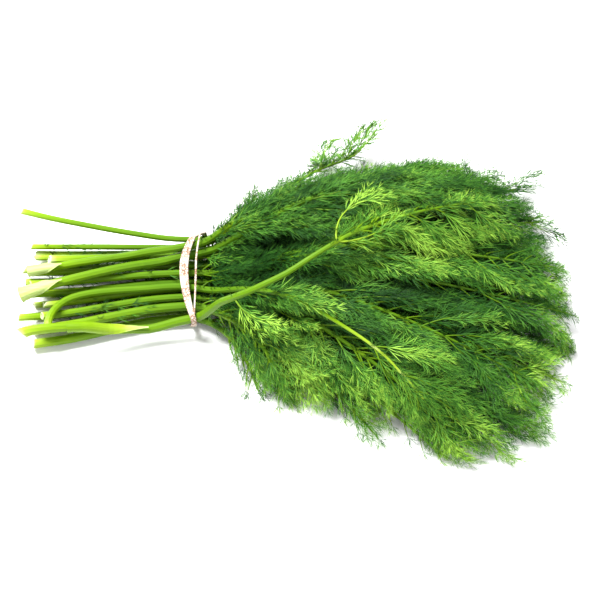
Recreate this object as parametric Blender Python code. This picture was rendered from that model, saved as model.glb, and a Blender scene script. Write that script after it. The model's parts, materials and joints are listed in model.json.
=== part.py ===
"""A bunch of fresh dill lying on its side, held by one rubber band wound twice round its stems.

Every leafy stem is one grown piece: a round stem, its side ribs and their thread-like leaflets.
The stems run along +X from their cut ends, through the band at X = 0, to a fan of feathery tips.
The table is Z = 0, and the origin is on it, under the middle of the band.
"""

import math
import random

import bmesh
import bpy
import numpy as np
from mathutils import Vector
from mathutils.geometry import convex_hull_2d

MM = 0.001
UP = Vector((0, 0, 1))

# ---------------------------------------------------------------- driving sizes
PACKED_STEMS = 24  # stems packed round each other in the band, besides the loose ones on top
STEM_RADIUS = (1.6 * MM, 2.8 * MM)
STEM_SPACING = 2.1 * MM  # air and leaf between two stems in the band
BUNDLE_HALF_WIDTH = 27 * MM
BUNDLE_HALF_HEIGHT = 14 * MM
BUNDLE_SQUEEZE = 0.0025  # how strongly the stems settle while they find their places
CUT_END = (-104 * MM, -86 * MM)  # the knife did not meet all stems at one place
RIB_RADIUS = 0.62 * MM
THREAD_LENGTH = (10.5 * MM, 15 * MM)
THREAD_RADIUS = 0.4 * MM
CLEARANCE = 0.3 * MM  # least air between two stems' leaves
RESTING_GAP = 1.3 * MM
HELD_TO = 12 * MM  # the band holds the loose stems down to here
TRIES = 30
STIFF_BOW = 36 * MM  # twice the tightest bow of a stem over a hump
BAND_THICKNESS = 1.2 * MM
UNDER_STEMS = BAND_THICKNESS + CLEARANCE + 0.05 * MM  # the band lies between the stems and the table

# ---------------------------------------------------------------- form of the whole bunch
FAN_CENTRE = Vector((-35 * MM, 0, 0))  # the fan's rays meet this far behind the band
# How far the foliage reaches from the fan's centre, in millimetres, at angles from front to back.
REACH_ANGLES = (-48, -41, -36, -31, -24, -14, -5, 5, 13, 19, 27, 36, 46)
REACH = (58, 108, 160, 232, 262, 270, 276, 268, 252, 236, 190, 138, 84)
FAN_HALF_ANGLE = math.radians(40)
FAN_ANGLES = (-42.5, 41)

# ---------------------------------------------------------------- form of a leaf
RIB_TIP = 6 * MM
LEAST_WHORLS = 2
WHORL_SPACING = 9.1 * MM
WHORL_LENGTH = 1.3 * MM
NODE_LENGTH = 2.2 * MM
BARE_STEP = 16 * MM
LEAFY_STEP = 24 * MM
TIP_UP = math.pi / 2  # turns a ring so that one of its corners is on top
SPREAD = math.radians(12)
FLATTENING = 0.75
THREAD_TRIES = ((0, 1), (16, 1), (-16, 1), (0, 0.65))

# ---------------------------------------------------------------- the band and the colours
BAND_SIDES = (-33 * MM, 31 * MM)  # where its front and back sides are
# Each strand: name, width, thickness, and how far along the stems it passes at the front, over the top
# and at the back, in millimetres. Under the middle of the stems it passes at 0.
BAND_STRANDS = (
    ("rubber_band", 3.2, 1.2, 3.4, -4.2, 9.3),
    ("second_strand", 1.7, 1.0, 3.7, -1.7, 9.7),
    ("thin_strand", 1.1, 0.9, 3.0, 3.7, 9.0),
)
GREENS = (
    ("dark_leaf", (0.05, 0.2, 0.03)),
    ("mid_leaf", (0.09, 0.3, 0.03)),
    ("bright_leaf", (0.15, 0.38, 0.03)),
)


def smooth(t):
    """An S-curve from 0 to 1."""
    t = min(max(t, 0.0), 1.0)
    return t * t * (3 - 2 * t)


def between(low, high, share):
    return low + (high - low) * share


def spaced(first, last, spacing):
    """Distances from the first to the last, evenly spaced and about so far apart."""
    steps = max(1, round((last - first) / spacing))
    return [between(first, last, i / steps) for i in range(steps + 1)]


def fan_place(x, y):
    """(share of the way from the band to the outline, angle in the fan) of a point in plan."""
    away = Vector((x, y, 0)) - FAN_CENTRE
    angle = math.atan2(away.y, away.x)
    reach = float(np.interp(math.degrees(angle), REACH_ANGLES, REACH)) * MM
    start = -FAN_CENTRE.x
    return max(0.0, (away.length - start) / (reach - start)), angle


def pile_height(x, y):
    """Height of the pile of foliage over the table, which swells past the band and droops outwards."""
    share, angle = fan_place(x, y)
    share = min(share, 1.0)
    crown = between(32, 20, share) + 34 * math.sin(math.pi * share**0.8)
    side = min(abs(angle) / FAN_HALF_ANGLE, 1.1)
    return crown * (1 - 0.62 * side**2.4) * MM


# ---------------------------------------------------------------- routes
def curve_through(points, spacing=2 * MM):
    """Points of a smooth curve (Catmull-Rom) through the given points."""
    points = [Vector(p) for p in points]
    ends = [2 * points[0] - points[1]] + points + [2 * points[-1] - points[-2]]
    curve = []
    for a, b, c, d in zip(ends, ends[1:], ends[2:], ends[3:]):
        steps = max(1, round((c - b).length / spacing))
        for step in range(steps):
            t = step / steps
            bend = (2 * a - 5 * b + 4 * c - d) * t**2 + (3 * b - 3 * c + d - a) * t**3
            curve.append(0.5 * (2 * b + (c - a) * t + bend))
    return curve + [points[-1]]


class Route:
    """A curve that is read by the distance along it."""

    def __init__(self, points):
        self.points = points
        steps = [(b - a).length for a, b in zip(points, points[1:])]
        self.distances = np.concatenate([[0], np.cumsum(steps)])
        self.length = float(self.distances[-1])

    def at(self, distance):
        """(point, direction) at a distance from the start."""
        distance = min(max(distance, 0.0), self.length)
        i = min(int(np.searchsorted(self.distances, distance, "right")) - 1, len(self.points) - 2)
        span = self.distances[i + 1] - self.distances[i]
        point = self.points[i].lerp(self.points[i + 1], (distance - self.distances[i]) / span)
        before, after = self.points[max(i - 1, 0)], self.points[min(i + 2, len(self.points) - 1)]
        return point, (after - before).normalized()


def packed_bundle():
    """[(y, z, radius)] of the packed stems in the band: they settle, then push apart until none touch."""
    draw = random.Random(7)
    radii = np.array([draw.uniform(*STEM_RADIUS) for _ in range(PACKED_STEMS)])
    turn = math.pi * (3 - math.sqrt(5))
    spread = np.sqrt((np.arange(PACKED_STEMS) + 0.5) / PACKED_STEMS)
    angles = turn * np.arange(PACKED_STEMS)
    across = BUNDLE_HALF_WIDTH * spread * np.cos(angles)
    height = BUNDLE_HALF_HEIGHT * spread * np.sin(angles)
    least = radii[:, None] + radii + STEM_SPACING
    floor = radii - BUNDLE_HALF_HEIGHT
    for _ in range(500):
        height += BUNDLE_SQUEEZE * (floor - height)
        across *= 0.999
        apart = np.stack([across[:, None] - across, height[:, None] - height], 2)
        distance = np.linalg.norm(apart, axis=2) + 1e-9
        push = np.maximum(least - distance, 0) / distance
        np.fill_diagonal(push, 0)
        moves = 0.25 * (apart * push[:, :, None]).sum(1)
        across = across + moves[:, 0]
        height = np.maximum(height + moves[:, 1], floor)
    height += UNDER_STEMS + BUNDLE_HALF_HEIGHT
    return [(float(y) + 1.5 * MM, float(z), float(r)) for y, z, r in zip(across, height, radii)]


def bundle_point(x, y, z, radius):
    """Where a stem is at x < 0 that lies at (y, z) in the band: the ends spread, and sink to the table."""
    share = smooth(x / CUT_END[0])
    under = (z - radius - UNDER_STEMS) * (1 + 0.12 * share) + UNDER_STEMS * (1 - share)
    return Vector((x, y * (1 + 0.4 * share) - 9 * MM * share, under + radius))


def fan_point(y, z, share_of_height, tip, s):
    """A point of a packed stem's way from the band to its tip, for s from 0 to 1.

    It rides at its own share of the pile's height.
    """
    bend = Vector((min(max(0.3 * tip.x, 28 * MM), 0.6 * tip.x), y * 1.05, 0))
    plan = (1 - s) ** 2 * Vector((0, y, 0)) + 2 * s * (1 - s) * bend + s * s * tip
    height = share_of_height * pile_height(plan.x, plan.y)
    plan.z = between(z, height, smooth((plan.length - 15 * MM) / (65 * MM)))
    return plan


def packed_stems(space):
    """The packed stems, from the lowest up. One that would cut through another is laid again."""
    bundle = packed_bundle()
    lowest_first = sorted(range(PACKED_STEMS), key=lambda i: bundle[i][1])
    front_first = sorted(range(PACKED_STEMS), key=lambda i: bundle[i][0])
    stems = []
    for rank, i in enumerate(lowest_first):
        y, z, radius = bundle[i]
        fan_share = front_first.index(i) / (PACKED_STEMS - 1)
        for attempt in range(TRIES):
            draw = random.Random(f"stem {i}, try {attempt}")
            level = between(0.07, 0.8, (rank + draw.uniform(-0.1, 0.1) * attempt) / (PACKED_STEMS - 1))
            angle = math.radians(between(*FAN_ANGLES, fan_share) + draw.uniform(-1.2, 1.2))
            reach = float(np.interp(math.degrees(angle), REACH_ANGLES, REACH)) * MM
            reach *= draw.uniform(0.9, 0.99)
            tip = FAN_CENTRE + reach * Vector((math.cos(angle), math.sin(angle), 0))
            cut = draw.uniform(*CUT_END)
            bare = [bundle_point(cut * share, y, z, radius) for share in (1, 0.75, 0.5, 0.25)]
            leafy = [fan_point(y, z, max(level, 0.05), tip, s / 8) for s in range(9)]
            stem = laid_stem(f"leafy_stem_{i + 1:02}", radius, curve_through(bare + leafy))
            if is_free(stem, space):
                break
        occupy(stem, space)
        stems.append(stem)
    return stems


def height_over(stems, x, y, radius):
    """Height of the axis of a stem laid over these stems at (x, y)."""
    height = radius
    for stem in stems:
        need = stem["radius"] + radius + RESTING_GAP
        for a, b in zip(stem["curve"], stem["curve"][1:]):
            if a.x <= x < b.x:
                across = 0.85 * abs(y - a.lerp(b, (x - a.x) / (b.x - a.x)).y)
                if across < need:
                    height = max(height, a.z + math.sqrt(need**2 - across**2))
    return height


# Loose stems on top, by hand: name, radius, how far past the band they are bare, and plan points from cut
# end to tip, in millimetres. A third number is the least height there.
LOOSE_STEMS = (
    (
        "leafy_stem_26",
        2.6,
        40,
        (
            *((-102, -14), (-72, -6), (-36, 4), (0, 13), (30, 18)),
            *((60, 26), (95, 36), (135, 44), (170, 48)),
        ),
    ),
    (
        "leafy_stem_27",
        2.1,
        106,
        (
            *((-83, -40), (-83.5, -33), (-81, -26), (-74, -18), (-60, -13), (-30, -10)),
            *((0, -9), (36, -22), (75, -44), (108, -65), (123, -78), (137, -92)),
        ),
    ),
    (
        "leafy_stem_28",
        1.8,
        20,
        (
            *((-107, 51, 12), (-82, 43, 14), (-36, 32, 16), (0, 27, 16), (30, 30, 20)),
            *((58, 47), (80, 66), (94, 80), (104, 97)),
        ),
    ),
    (
        "leafy_stem_29",
        2.3,
        20,
        (
            *((-99, 4), (-60, 9), (-30, 13), (0, 16), (30, 24)),
            *((62, 39), (104, 52), (138, 58)),
        ),
    ),
    (
        "leafy_stem_25",
        2.7,
        84,
        (
            *((-101, -43), (-60, -38), (-24, -33), (0, -29), (14, -30), (30, -33)),
            *((43, -31), (60, -24), (77, -14), (96, -2), (112, 6), (136, 17), (172, 32)),
        ),
    ),
)


def loose_stems(packed, space):
    """The stems that lie over the others, dropped on them one after another. They bow over humps."""
    stems = []
    for name, radius, bare, plan in LOOSE_STEMS:
        radius *= MM
        plan = [MM * Vector((*place, 0)[:3]) for place in plan]
        points = curve_through(plan, 6 * MM)
        for point in points:
            resting = height_over(packed + stems, point.x, point.y, radius)
            rise = smooth((point.x - HELD_TO) / (65 * MM))
            over_pile = between(resting, pile_height(point.x, point.y) + radius, rise)
            point.z = max(point.z, resting, over_pile)
        for side in (-1, 1):
            humps = [point.copy() for point in points if side * (point.x - HELD_TO) >= 0]
            for point in points:
                if side * (point.x - HELD_TO) >= 0:
                    fall = [(hump.xy - point.xy).length_squared / STIFF_BOW for hump in humps]
                    point.z = max(hump.z - below for hump, below in zip(humps, fall))
        heights = [point.z for point in points]
        for i in range(1, len(points) - 1):
            points[i].z = (heights[i - 1] + 2 * heights[i] + heights[i + 1]) / 4
        for attempt in range(TRIES):
            stem = laid_stem(name, radius, curve_through(points), bare * MM)
            if is_free(stem, space):
                break
            for point in points:
                point.z += 0.4 * MM
        occupy(stem, space)
        stems.append(stem)
    return stems


def laid_stem(name, radius, curve, bare=20 * MM):
    """A stem with its route, read from its cut end, and the places of its rings.

    They stand along its bare length, between its nodes, and at the whorls of its tip.
    """
    stem = {"name": name, "radius": radius, "curve": curve, "route": Route(curve)}
    past_band, past_bare = (sum(1 for point in curve if point.x < x) for x in (0, bare))
    stem["band"] = float(stem["route"].distances[past_band])
    stem["bare_to"] = float(stem["route"].distances[past_bare])
    nodes = sorted({place[0] for place in rib_places(stem)})
    stem["leafy_from"] = nodes[0] - 5 * MM
    stem["bare"] = spaced(0, stem["leafy_from"] - 4 * MM, BARE_STEP)
    stem["nodes"] = []
    reached = stem["leafy_from"]
    for node in nodes:
        stem["nodes"].append((node, spaced(reached, node, LEAFY_STEP)[1:]))
        reached = node + NODE_LENGTH
    start, end = reached + 9 * MM, stem["route"].length - 5 * MM
    roomy = end - start > 6 * MM
    stem["whorls"] = spaced(start, end, WHORL_SPACING + 1.5 * MM) if roomy else [min(start, end)]
    return stem


def stem_lengths(stem):
    """[(start, end, radius)] of the straight lengths a stem is made of."""
    rings = [*stem["bare"], stem["leafy_from"]]
    for node, middles in stem["nodes"]:
        rings += [*middles, node + NODE_LENGTH]
    for whorl in stem["whorls"]:
        rings += [whorl, whorl + WHORL_LENGTH]
    centres = [stem["route"].at(ring)[0] for ring in rings] + [stem_tip(stem)]
    lengths = []
    for near, start, end in zip(rings, centres, centres[1:]):
        wider = 1.22 if near >= stem["leafy_from"] - 5 * MM else 1.0
        lengths.append((start, end, wider * stem_radius(stem, near)))
    return lengths


def stem_tip(stem):
    point, along = stem["route"].at(stem["route"].length)
    tip = point + 7 * MM * along
    tip.z = max(tip.z, 0)
    return tip


def is_free(stem, space):
    """Whether a stem keeps clear of all that is laid."""
    return all(space.is_clear(*length, [stem["name"]]) for length in stem_lengths(stem))


def occupy(stem, space):
    for start, end, radius in stem_lengths(stem):
        space.add(start, end, radius, stem["name"])


def stem_radius(stem, distance):
    """A stem thins slowly up to the band, and then down to a thread at its tip."""
    route = stem["route"]
    past = max(distance - stem["band"], 0) / (route.length - stem["band"])
    return between(stem["radius"], 0.5 * MM, past**0.8)


# ---------------------------------------------------------------- leaves
def rib_places(stem):
    """A stem's side ribs in opposite pairs: [(distance along the stem, length, side, turn from it)]."""
    draw = random.Random(stem["name"])
    leafy = stem["route"].length - stem["band"]
    first = max(stem["bare_to"] + 3 * MM, stem["band"] + draw.uniform(0.12, 0.3) * leafy)
    second = max(first + 24 * MM, stem["band"] + draw.uniform(0.52, 0.68) * leafy)
    places = []
    for distance, length in ((first, 44 * MM), (second, 35 * MM)):
        for side in (-1, 1):
            size = draw.uniform(0.85, 1.15)
            places.append((distance, length * size, side, math.radians(draw.uniform(30, 46))))
    return places


def rib_route(stem, distance, length, side, turn):
    """A rib leaves its stem sideways, sweeps forward, and keeps to its stem's height in the pile."""
    start, along = stem["route"].at(distance)
    level = start.z / pile_height(start.x, start.y)
    heading = math.atan2(along.y, along.x)
    points, place = [start], start.copy()
    steps = 8
    for step in range(1, steps + 1):
        angle = heading + side * turn * between(1, 0.3, step / steps)
        place = place + length / steps * Vector((math.cos(angle), math.sin(angle), 0))
        lying = max(level * pile_height(place.x, place.y), 1.2 * MM)
        rise = smooth(step / 3) * (lying - start.z)
        points.append(Vector((place.x, place.y, start.z + rise)))
    return Route(points)


# ---------------------------------------------------------------- room for each piece
class Space:
    """What has been placed so far, as straight lengths with a radius, to keep new ones clear of it."""

    def __init__(self):
        self.starts, self.ends, self.radii, self.owners = [], [], [], []
        self.arrays = None

    def add(self, start, end, radius, owner):
        self.starts.append(tuple(start))
        self.ends.append(tuple(end))
        self.radii.append(radius)
        self.owners.append(owner)
        self.arrays = None

    def is_clear(self, start, end, radius, but_for):
        """Whether a length keeps its clearance from all others, apart from those of the owners named."""
        if not self.starts:
            return True
        if self.arrays is None:
            kept = (self.starts, self.ends, self.radii, self.owners)
            self.arrays = tuple(np.array(column) for column in kept)
        starts, ends, radii, owners = self.arrays
        others = ~np.isin(owners, but_for)
        gap = gaps(np.array(start), np.array(end), starts[others], ends[others])
        return bool((gap > radii[others] + radius + CLEARANCE).all())


def gaps(start, end, starts, ends):
    """Least distances from one straight length to many."""
    a, b, between_starts = end - start, ends - starts, start - starts
    aa, bb = a @ a, (b * b).sum(1)
    ab, ac, bc = b @ a, between_starts @ a, (b * between_starts).sum(1)
    below = np.maximum(aa * bb - ab * ab, 1e-18)
    s = np.clip((ab * bc - ac * bb) / below, 0, 1)
    t = np.clip((ab * s + bc) / bb, 0, 1)
    s = np.clip((ab * t - ac) / aa, 0, 1)
    return np.linalg.norm(between_starts + s[:, None] * a - t[:, None] * b, axis=1)


# ---------------------------------------------------------------- grown meshes
def ring(centre, along, radius, sides, turn=0.0):
    """Points round an axis, with the first angle turned from the level direction at its left."""
    left = UP.cross(along).normalized()
    up = along.cross(left)
    angles = (turn + 2 * math.pi * i / sides for i in range(sides))
    return [centre + radius * (math.cos(a) * left + math.sin(a) * up) for a in angles]


def grow(mesh, face, points):
    """Extrudes a face to a ring of as many points or half as many, or to one tip.

    Returns its new end and its sides.
    """
    start = list(face.verts)
    step = len(start) // len(points) if len(points) > 1 else 1
    mesh.faces.remove(face)
    new = [mesh.verts.new(point) for point in points]
    sides = []
    for i in range(len(start) // step):
        at = [start[(i * step + j) % len(start)] for j in range(step + 1)]
        here, ahead = new[i % len(new)], new[(i + 1) % len(new)]
        if len(new) == 1:
            sides.append(mesh.faces.new((*at, here)))
        elif step == 1:
            sides.append(mesh.faces.new((*at, ahead, here)))
        else:
            mesh.faces.new((at[0], at[1], here))
            sides.append(mesh.faces.new((at[1], at[2], ahead, here)))
    return (mesh.faces.new(new) if len(new) > 2 else None), sides


def cylinder_start(mesh, first, second):
    """A short closed length between two rings. Returns its forward end."""
    back = [mesh.verts.new(point) for point in first]
    front = [mesh.verts.new(point) for point in second]
    mesh.faces.new(back[::-1])
    for i in range(len(back)):
        j = (i + 1) % len(back)
        mesh.faces.new((back[i], back[j], front[j], front[i]))
    return mesh.faces.new(front)


def halves(mesh, quad):
    """Splits a side into two triangles, the one behind first."""
    a, b, c, d = quad.verts
    mesh.faces.remove(quad)
    return mesh.faces.new((a, b, c)), mesh.faces.new((a, c, d))


def nearest_turn(face, points):
    """The points in the order that twists least from the face's corners."""
    corners = [v.co for v in face.verts]
    turns = [points[i:] + points[:i] for i in range(len(points))]
    return min(turns, key=lambda turn: sum((a - b).length_squared for a, b in zip(corners, turn)))


# ---------------------------------------------------------------- planning the leaves
def plan_ribs(stem, space):
    """Lays out a stem's ribs, whorl by whorl, each as long as it stays clear of what is there."""
    stem["pairs"] = {}
    for number, (distance, length, side, turn) in enumerate(rib_places(stem)):
        route = rib_route(stem, distance, length, side, turn)
        owner = f"{stem['name']}/{number}"
        own = [stem["name"], owner, f"{stem['name']}/{number ^ 1}"]
        thick = stem_radius(stem, distance)
        root = (1.25 * thick + 0.9 * MM) / math.sin(turn)
        foot, neck = stem["route"].at(distance + NODE_LENGTH / 2)[0], route.at(root)[0]
        steps = [(foot, neck, max(RIB_RADIUS, 0.9 * thick))]
        whorls = []
        whorl = root + 1.5 * MM
        while whorl + RIB_TIP < route.length and space.is_clear(*steps[-1], own):
            before, after = route.at(whorl)[0], route.at(whorl + WHORL_LENGTH)[0]
            ahead = rib_tip(route, whorl + WHORL_LENGTH)
            if not space.is_clear(neck, before, 1.15 * RIB_RADIUS, own):
                break
            if not space.is_clear(before, ahead, 1.15 * RIB_RADIUS, own):
                break
            steps += [(neck, before, 1.15 * RIB_RADIUS), (before, ahead, 1.15 * RIB_RADIUS)]
            whorls.append(whorl)
            neck = after
            whorl += WHORL_SPACING
        if len(whorls) >= LEAST_WHORLS:
            for start, end, radius in steps:
                space.add(start, end, radius, owner)
            rib = {"route": route, "root": root, "whorls": whorls, "owner": owner, "side": side}
            stem["pairs"].setdefault(distance, []).append(rib)


def rib_tip(route, distance):
    """Where a rib that has its last whorl here ends."""
    point, along = route.at(distance)
    tip = point + RIB_TIP * along
    tip.z = max(tip.z, 0)
    return tip


def thread_way(origin, along, centre, lean, around, length):
    """Tip of a thread that leans from an axis at an angle round it. Pressed leaves are a little flat."""
    left = UP.cross(along).normalized()
    up = along.cross(left)
    out = centre - origin
    angle = math.atan2(out.dot(up), out.dot(left)) + around
    sideways = math.cos(angle) * left + FLATTENING * math.sin(angle) * up
    tip = centre + length * (math.cos(lean) * along + math.sin(lean) * sideways).normalized()
    tip.z = max(tip.z, 0.0)
    return tip


def add_threads(mesh, side_face, axis_point, along, draw, space, owner, but_for, scale=1.0):
    """Draws each half of a rib's side out into a thread, where there is room for one."""
    for half, around in zip(halves(mesh, side_face), (SPREAD, -SPREAD)):
        add_thread(mesh, half, around, axis_point, along, draw, space, owner, but_for, scale)


def add_thread(mesh, face, around, axis_point, along, draw, space, owner, but_for, scale=1.0):
    centre = face.calc_center_median()
    lean = math.radians(draw.uniform(30, 46))
    length = draw.uniform(*THREAD_LENGTH) * scale
    for swing, share in THREAD_TRIES:
        tip = thread_way(axis_point, along, centre, lean, around + math.radians(swing), length * share)
        start = centre.lerp(tip, 0.15)
        if space.is_clear(start, tip, THREAD_RADIUS, [owner, *but_for]):
            space.add(centre, tip, THREAD_RADIUS, owner)
            grow(mesh, face, [tip])
            return


# ---------------------------------------------------------------- solids
def grow_rib(mesh, root_face, rib, draw, space):
    """Draws a root triangle out into a rib with whorls of threads."""
    route, whorls = rib["route"], rib["whorls"]
    point, along = route.at(rib["root"])
    end, _ = grow(mesh, root_face, nearest_turn(root_face, ring(point, along, RIB_RADIUS, 3, TIP_UP)))
    for number, distance in enumerate(whorls):
        thinner = between(1, 0.7, number / len(whorls)) * RIB_RADIUS
        owner = f"{rib['owner']}/{number}"
        point, along = route.at(distance)
        end, _ = grow(mesh, end, nearest_turn(end, ring(point, along, thinner, 3, TIP_UP)))
        point, along = route.at(distance + WHORL_LENGTH)
        end, sides = grow(mesh, end, nearest_turn(end, ring(point, along, thinner, 3, TIP_UP)))
        for face in sides:
            add_threads(mesh, face, point, along, draw, space, owner, [rib["owner"]])
    grow(mesh, end, [rib_tip(route, whorls[-1] + WHORL_LENGTH)])


def grow_stem(stem, space):
    """One leafy stem as a single closed mesh."""
    mesh = bmesh.new()
    route, name = stem["route"], stem["name"]
    draw = random.Random(f"threads of {name}")

    def stem_ring(distance, sides):
        point, along = route.at(distance)
        wider = 1.22 if sides == 3 else 1
        return ring(point, along, wider * stem_radius(stem, distance), sides, TIP_UP)

    bare = stem["bare"]
    end = cylinder_start(mesh, stem_ring(bare[0], 6), stem_ring(bare[1], 6))
    for distance in bare[2:]:
        end, _ = grow(mesh, end, stem_ring(distance, 6))
    end, _ = grow(mesh, end, stem_ring(stem["leafy_from"], 3))
    for distance, middles in stem["nodes"]:
        for middle in middles:
            end, _ = grow(mesh, end, stem_ring(middle, 3))
        end, sides = grow(mesh, end, stem_ring(distance + NODE_LENGTH, 3))
        point, along = route.at(distance + NODE_LENGTH)
        rib_sides = {-1: sides[0], 1: sides[2]}
        owner = f"{name}/node {distance:.4f}"
        for rib in stem["pairs"].get(distance, ()):
            root_faces = halves(mesh, rib_sides.pop(rib["side"]))
            lower = min(root_faces, key=lambda face: face.calc_center_median().z)
            grow_rib(mesh, lower, rib, draw, space)
        if stem_radius(stem, distance) < 1.1 * MM:
            for face in [*rib_sides.values(), sides[1]]:
                add_threads(mesh, face, point, along, draw, space, owner, [name])
    for number, distance in enumerate(stem["whorls"]):
        end, _ = grow(mesh, end, stem_ring(distance, 3))
        end, sides = grow(mesh, end, stem_ring(distance + WHORL_LENGTH, 3))
        point, along = route.at(distance + WHORL_LENGTH)
        for face in sides:
            add_threads(mesh, face, point, along, draw, space, f"{name}/tip {number}", [name], 0.9)
    grow(mesh, end, [stem_tip(stem)])
    return mesh


def placed(mesh, name, material):
    """Turns a bmesh into a shown object of its own."""
    data = bpy.data.meshes.new(name)
    mesh.to_mesh(data)
    mesh.free()
    data.materials.append(material)
    body = bpy.data.objects.new(name, data)
    bpy.context.scene.collection.objects.link(body)
    return body


def stem_at(stem, x):
    """Centre of a stem where it crosses a plane across the bunch."""
    rings = [stem["route"].at(distance)[0] for distance in stem["bare"]]
    for a, b in zip(rings, rings[1:]):
        if a.x <= x < b.x:
            return a.lerp(b, (x - a.x) / (b.x - a.x))
    return rings[-1]


def strand_x(strand, y, z):
    """Where a strand passes along the stems, at a place round the bundle."""
    front, top, back = strand[3:]
    side, reach = (back, BAND_SIDES[1]) if y > 0 else (front, BAND_SIDES[0])
    middle = between(0, top, smooth((z - 3 * MM) / (9 * MM)))
    return between(middle, side, min(y / reach, 1) ** 2) * MM


def round_the_stems(stems, strand):
    """The corners of a cord pulled tight round the stems, as (y, z) in turn."""
    places = []
    for stem in stems:
        middle = stem_at(stem, 3 * MM)
        for i in range(16):
            angle = math.pi * i / 8
            out = stem["radius"] * Vector((0, math.cos(angle), math.sin(angle)))
            x = strand_x(strand, middle.y + out.y, middle.z + out.z)
            for aside in (-3 * MM, 0, 3 * MM):
                place = stem_at(stem, x + aside) + out
                places.append((place.y, place.z))
    corners = []
    for i in convex_hull_2d(places):
        corner = Vector((0, *places[i]))
        if not corners or (corner - corners[-1]).length > 1.2 * MM:
            corners.append(corner)
    if (corners[0] - corners[-1]).length < 1.2 * MM:
        corners.pop()
    return corners


def band_strand(stems, strand, material):
    """One strand of the band: a flat strip closed on itself, which hugs the stems with a hair of air."""
    name, width, thickness = strand[:3]
    start = CLEARANCE + (BAND_THICKNESS - thickness * MM) / 2
    corners = round_the_stems(stems, strand)
    count = len(corners)
    mesh = bmesh.new()
    rings = []
    for i, corner in enumerate(corners):
        before, after = corners[i - 1], corners[(i + 1) % count]
        behind = Vector((1, 0, 0)).cross(before - corner).normalized()
        ahead = Vector((1, 0, 0)).cross(corner - after).normalized()
        out = (behind + ahead).normalized()
        out /= out.dot(ahead)
        inner, outer = start * out, (start + thickness * MM) * out
        across = Vector((width * MM / 2, 0, 0))
        corner = Vector((strand_x(strand, corner.y, corner.z), corner.y, corner.z))
        strip = (inner - across, inner + across, outer + across, outer - across)
        rings.append([mesh.verts.new(corner + place) for place in strip])
    for i, strip in enumerate(rings):
        ahead = rings[(i + 1) % count]
        for j in range(4):
            k = (j + 1) % 4
            mesh.faces.new((strip[j], ahead[j], ahead[k], strip[k]))
    bmesh.ops.recalc_face_normals(mesh, faces=mesh.faces)
    bmesh.ops.triangulate(mesh, faces=mesh.faces)
    return placed(mesh, name, material)


def rubber_band(stems, material):
    """The band's strands, which run into each other at the bundle's sides and are one piece."""
    band, *others = [band_strand(stems, strand, material) for strand in BAND_STRANDS]
    for other in others:
        join = band.modifiers.new(f"join {other.name}", "BOOLEAN")
        join.operation = "UNION"
        join.solver = "EXACT"
        join.object = other
        other.hide_render = True
        other.display_type = "WIRE"


def plain_material(name, colour, roughness):
    material = bpy.data.materials.new(name)
    material.use_nodes = True
    surface = material.node_tree.nodes["Principled BSDF"]
    surface.inputs["Base Color"].default_value = (*colour, 1)
    surface.inputs["Roughness"].default_value = roughness
    surface.inputs["Metallic"].default_value = 0
    return material


def build():
    for old in list(bpy.data.objects):
        bpy.data.objects.remove(old)
    greens = [plain_material(name, colour, 0.5) for name, colour in GREENS]
    rubber = plain_material("pale_rubber", (0.83, 0.78, 0.68), 0.55)
    space = Space()
    packed = packed_stems(space)
    stems = packed + loose_stems(packed, space)
    for stem in stems:
        plan_ribs(stem, space)
    for number, stem in enumerate(stems):
        green = greens[number % 3] if number < PACKED_STEMS else greens[2]
        placed(grow_stem(stem, space), stem["name"], green)
    rubber_band(stems, rubber)


build()
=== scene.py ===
import json
import math
import random
from collections import namedtuple

import bmesh
import bpy
import numpy as np
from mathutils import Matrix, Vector
from mathutils.geometry import convex_hull_2d

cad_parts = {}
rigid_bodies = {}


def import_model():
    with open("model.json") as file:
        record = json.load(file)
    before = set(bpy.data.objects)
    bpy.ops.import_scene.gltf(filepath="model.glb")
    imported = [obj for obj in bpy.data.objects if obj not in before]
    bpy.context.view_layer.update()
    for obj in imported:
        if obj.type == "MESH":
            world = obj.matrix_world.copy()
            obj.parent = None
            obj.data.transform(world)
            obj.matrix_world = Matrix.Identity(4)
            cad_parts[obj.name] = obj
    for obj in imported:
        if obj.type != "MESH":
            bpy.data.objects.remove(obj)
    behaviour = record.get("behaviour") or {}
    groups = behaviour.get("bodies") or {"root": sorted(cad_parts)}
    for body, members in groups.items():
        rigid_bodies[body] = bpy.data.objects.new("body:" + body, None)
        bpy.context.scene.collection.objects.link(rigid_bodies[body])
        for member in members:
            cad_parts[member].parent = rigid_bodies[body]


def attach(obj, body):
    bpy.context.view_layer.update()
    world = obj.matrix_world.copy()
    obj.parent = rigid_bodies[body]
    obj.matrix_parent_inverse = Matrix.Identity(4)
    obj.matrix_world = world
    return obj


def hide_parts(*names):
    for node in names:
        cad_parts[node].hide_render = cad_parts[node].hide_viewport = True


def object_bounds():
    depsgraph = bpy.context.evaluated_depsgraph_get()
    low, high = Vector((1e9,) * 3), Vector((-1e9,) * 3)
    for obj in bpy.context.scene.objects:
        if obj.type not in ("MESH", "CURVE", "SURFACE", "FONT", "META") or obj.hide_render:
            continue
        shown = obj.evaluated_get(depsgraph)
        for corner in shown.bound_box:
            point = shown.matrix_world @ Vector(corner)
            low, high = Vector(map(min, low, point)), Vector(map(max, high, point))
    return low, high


for old in list(bpy.data.objects):
    bpy.data.objects.remove(old)
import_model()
cad_low, cad_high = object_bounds()


# ================================================================ leafy stems: the pile they make
# The bunch is 29 cut stems of fresh dill, gathered by a rubber band and laid down. Past the band their
# leaves fan out into one domed pile, which follows the same rules here as in the leafy_stem solids.
MM = 0.001
UP = Vector((0, 0, 1))
FAN_CENTRE = Vector((-35 * MM, 0, 0))
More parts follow.
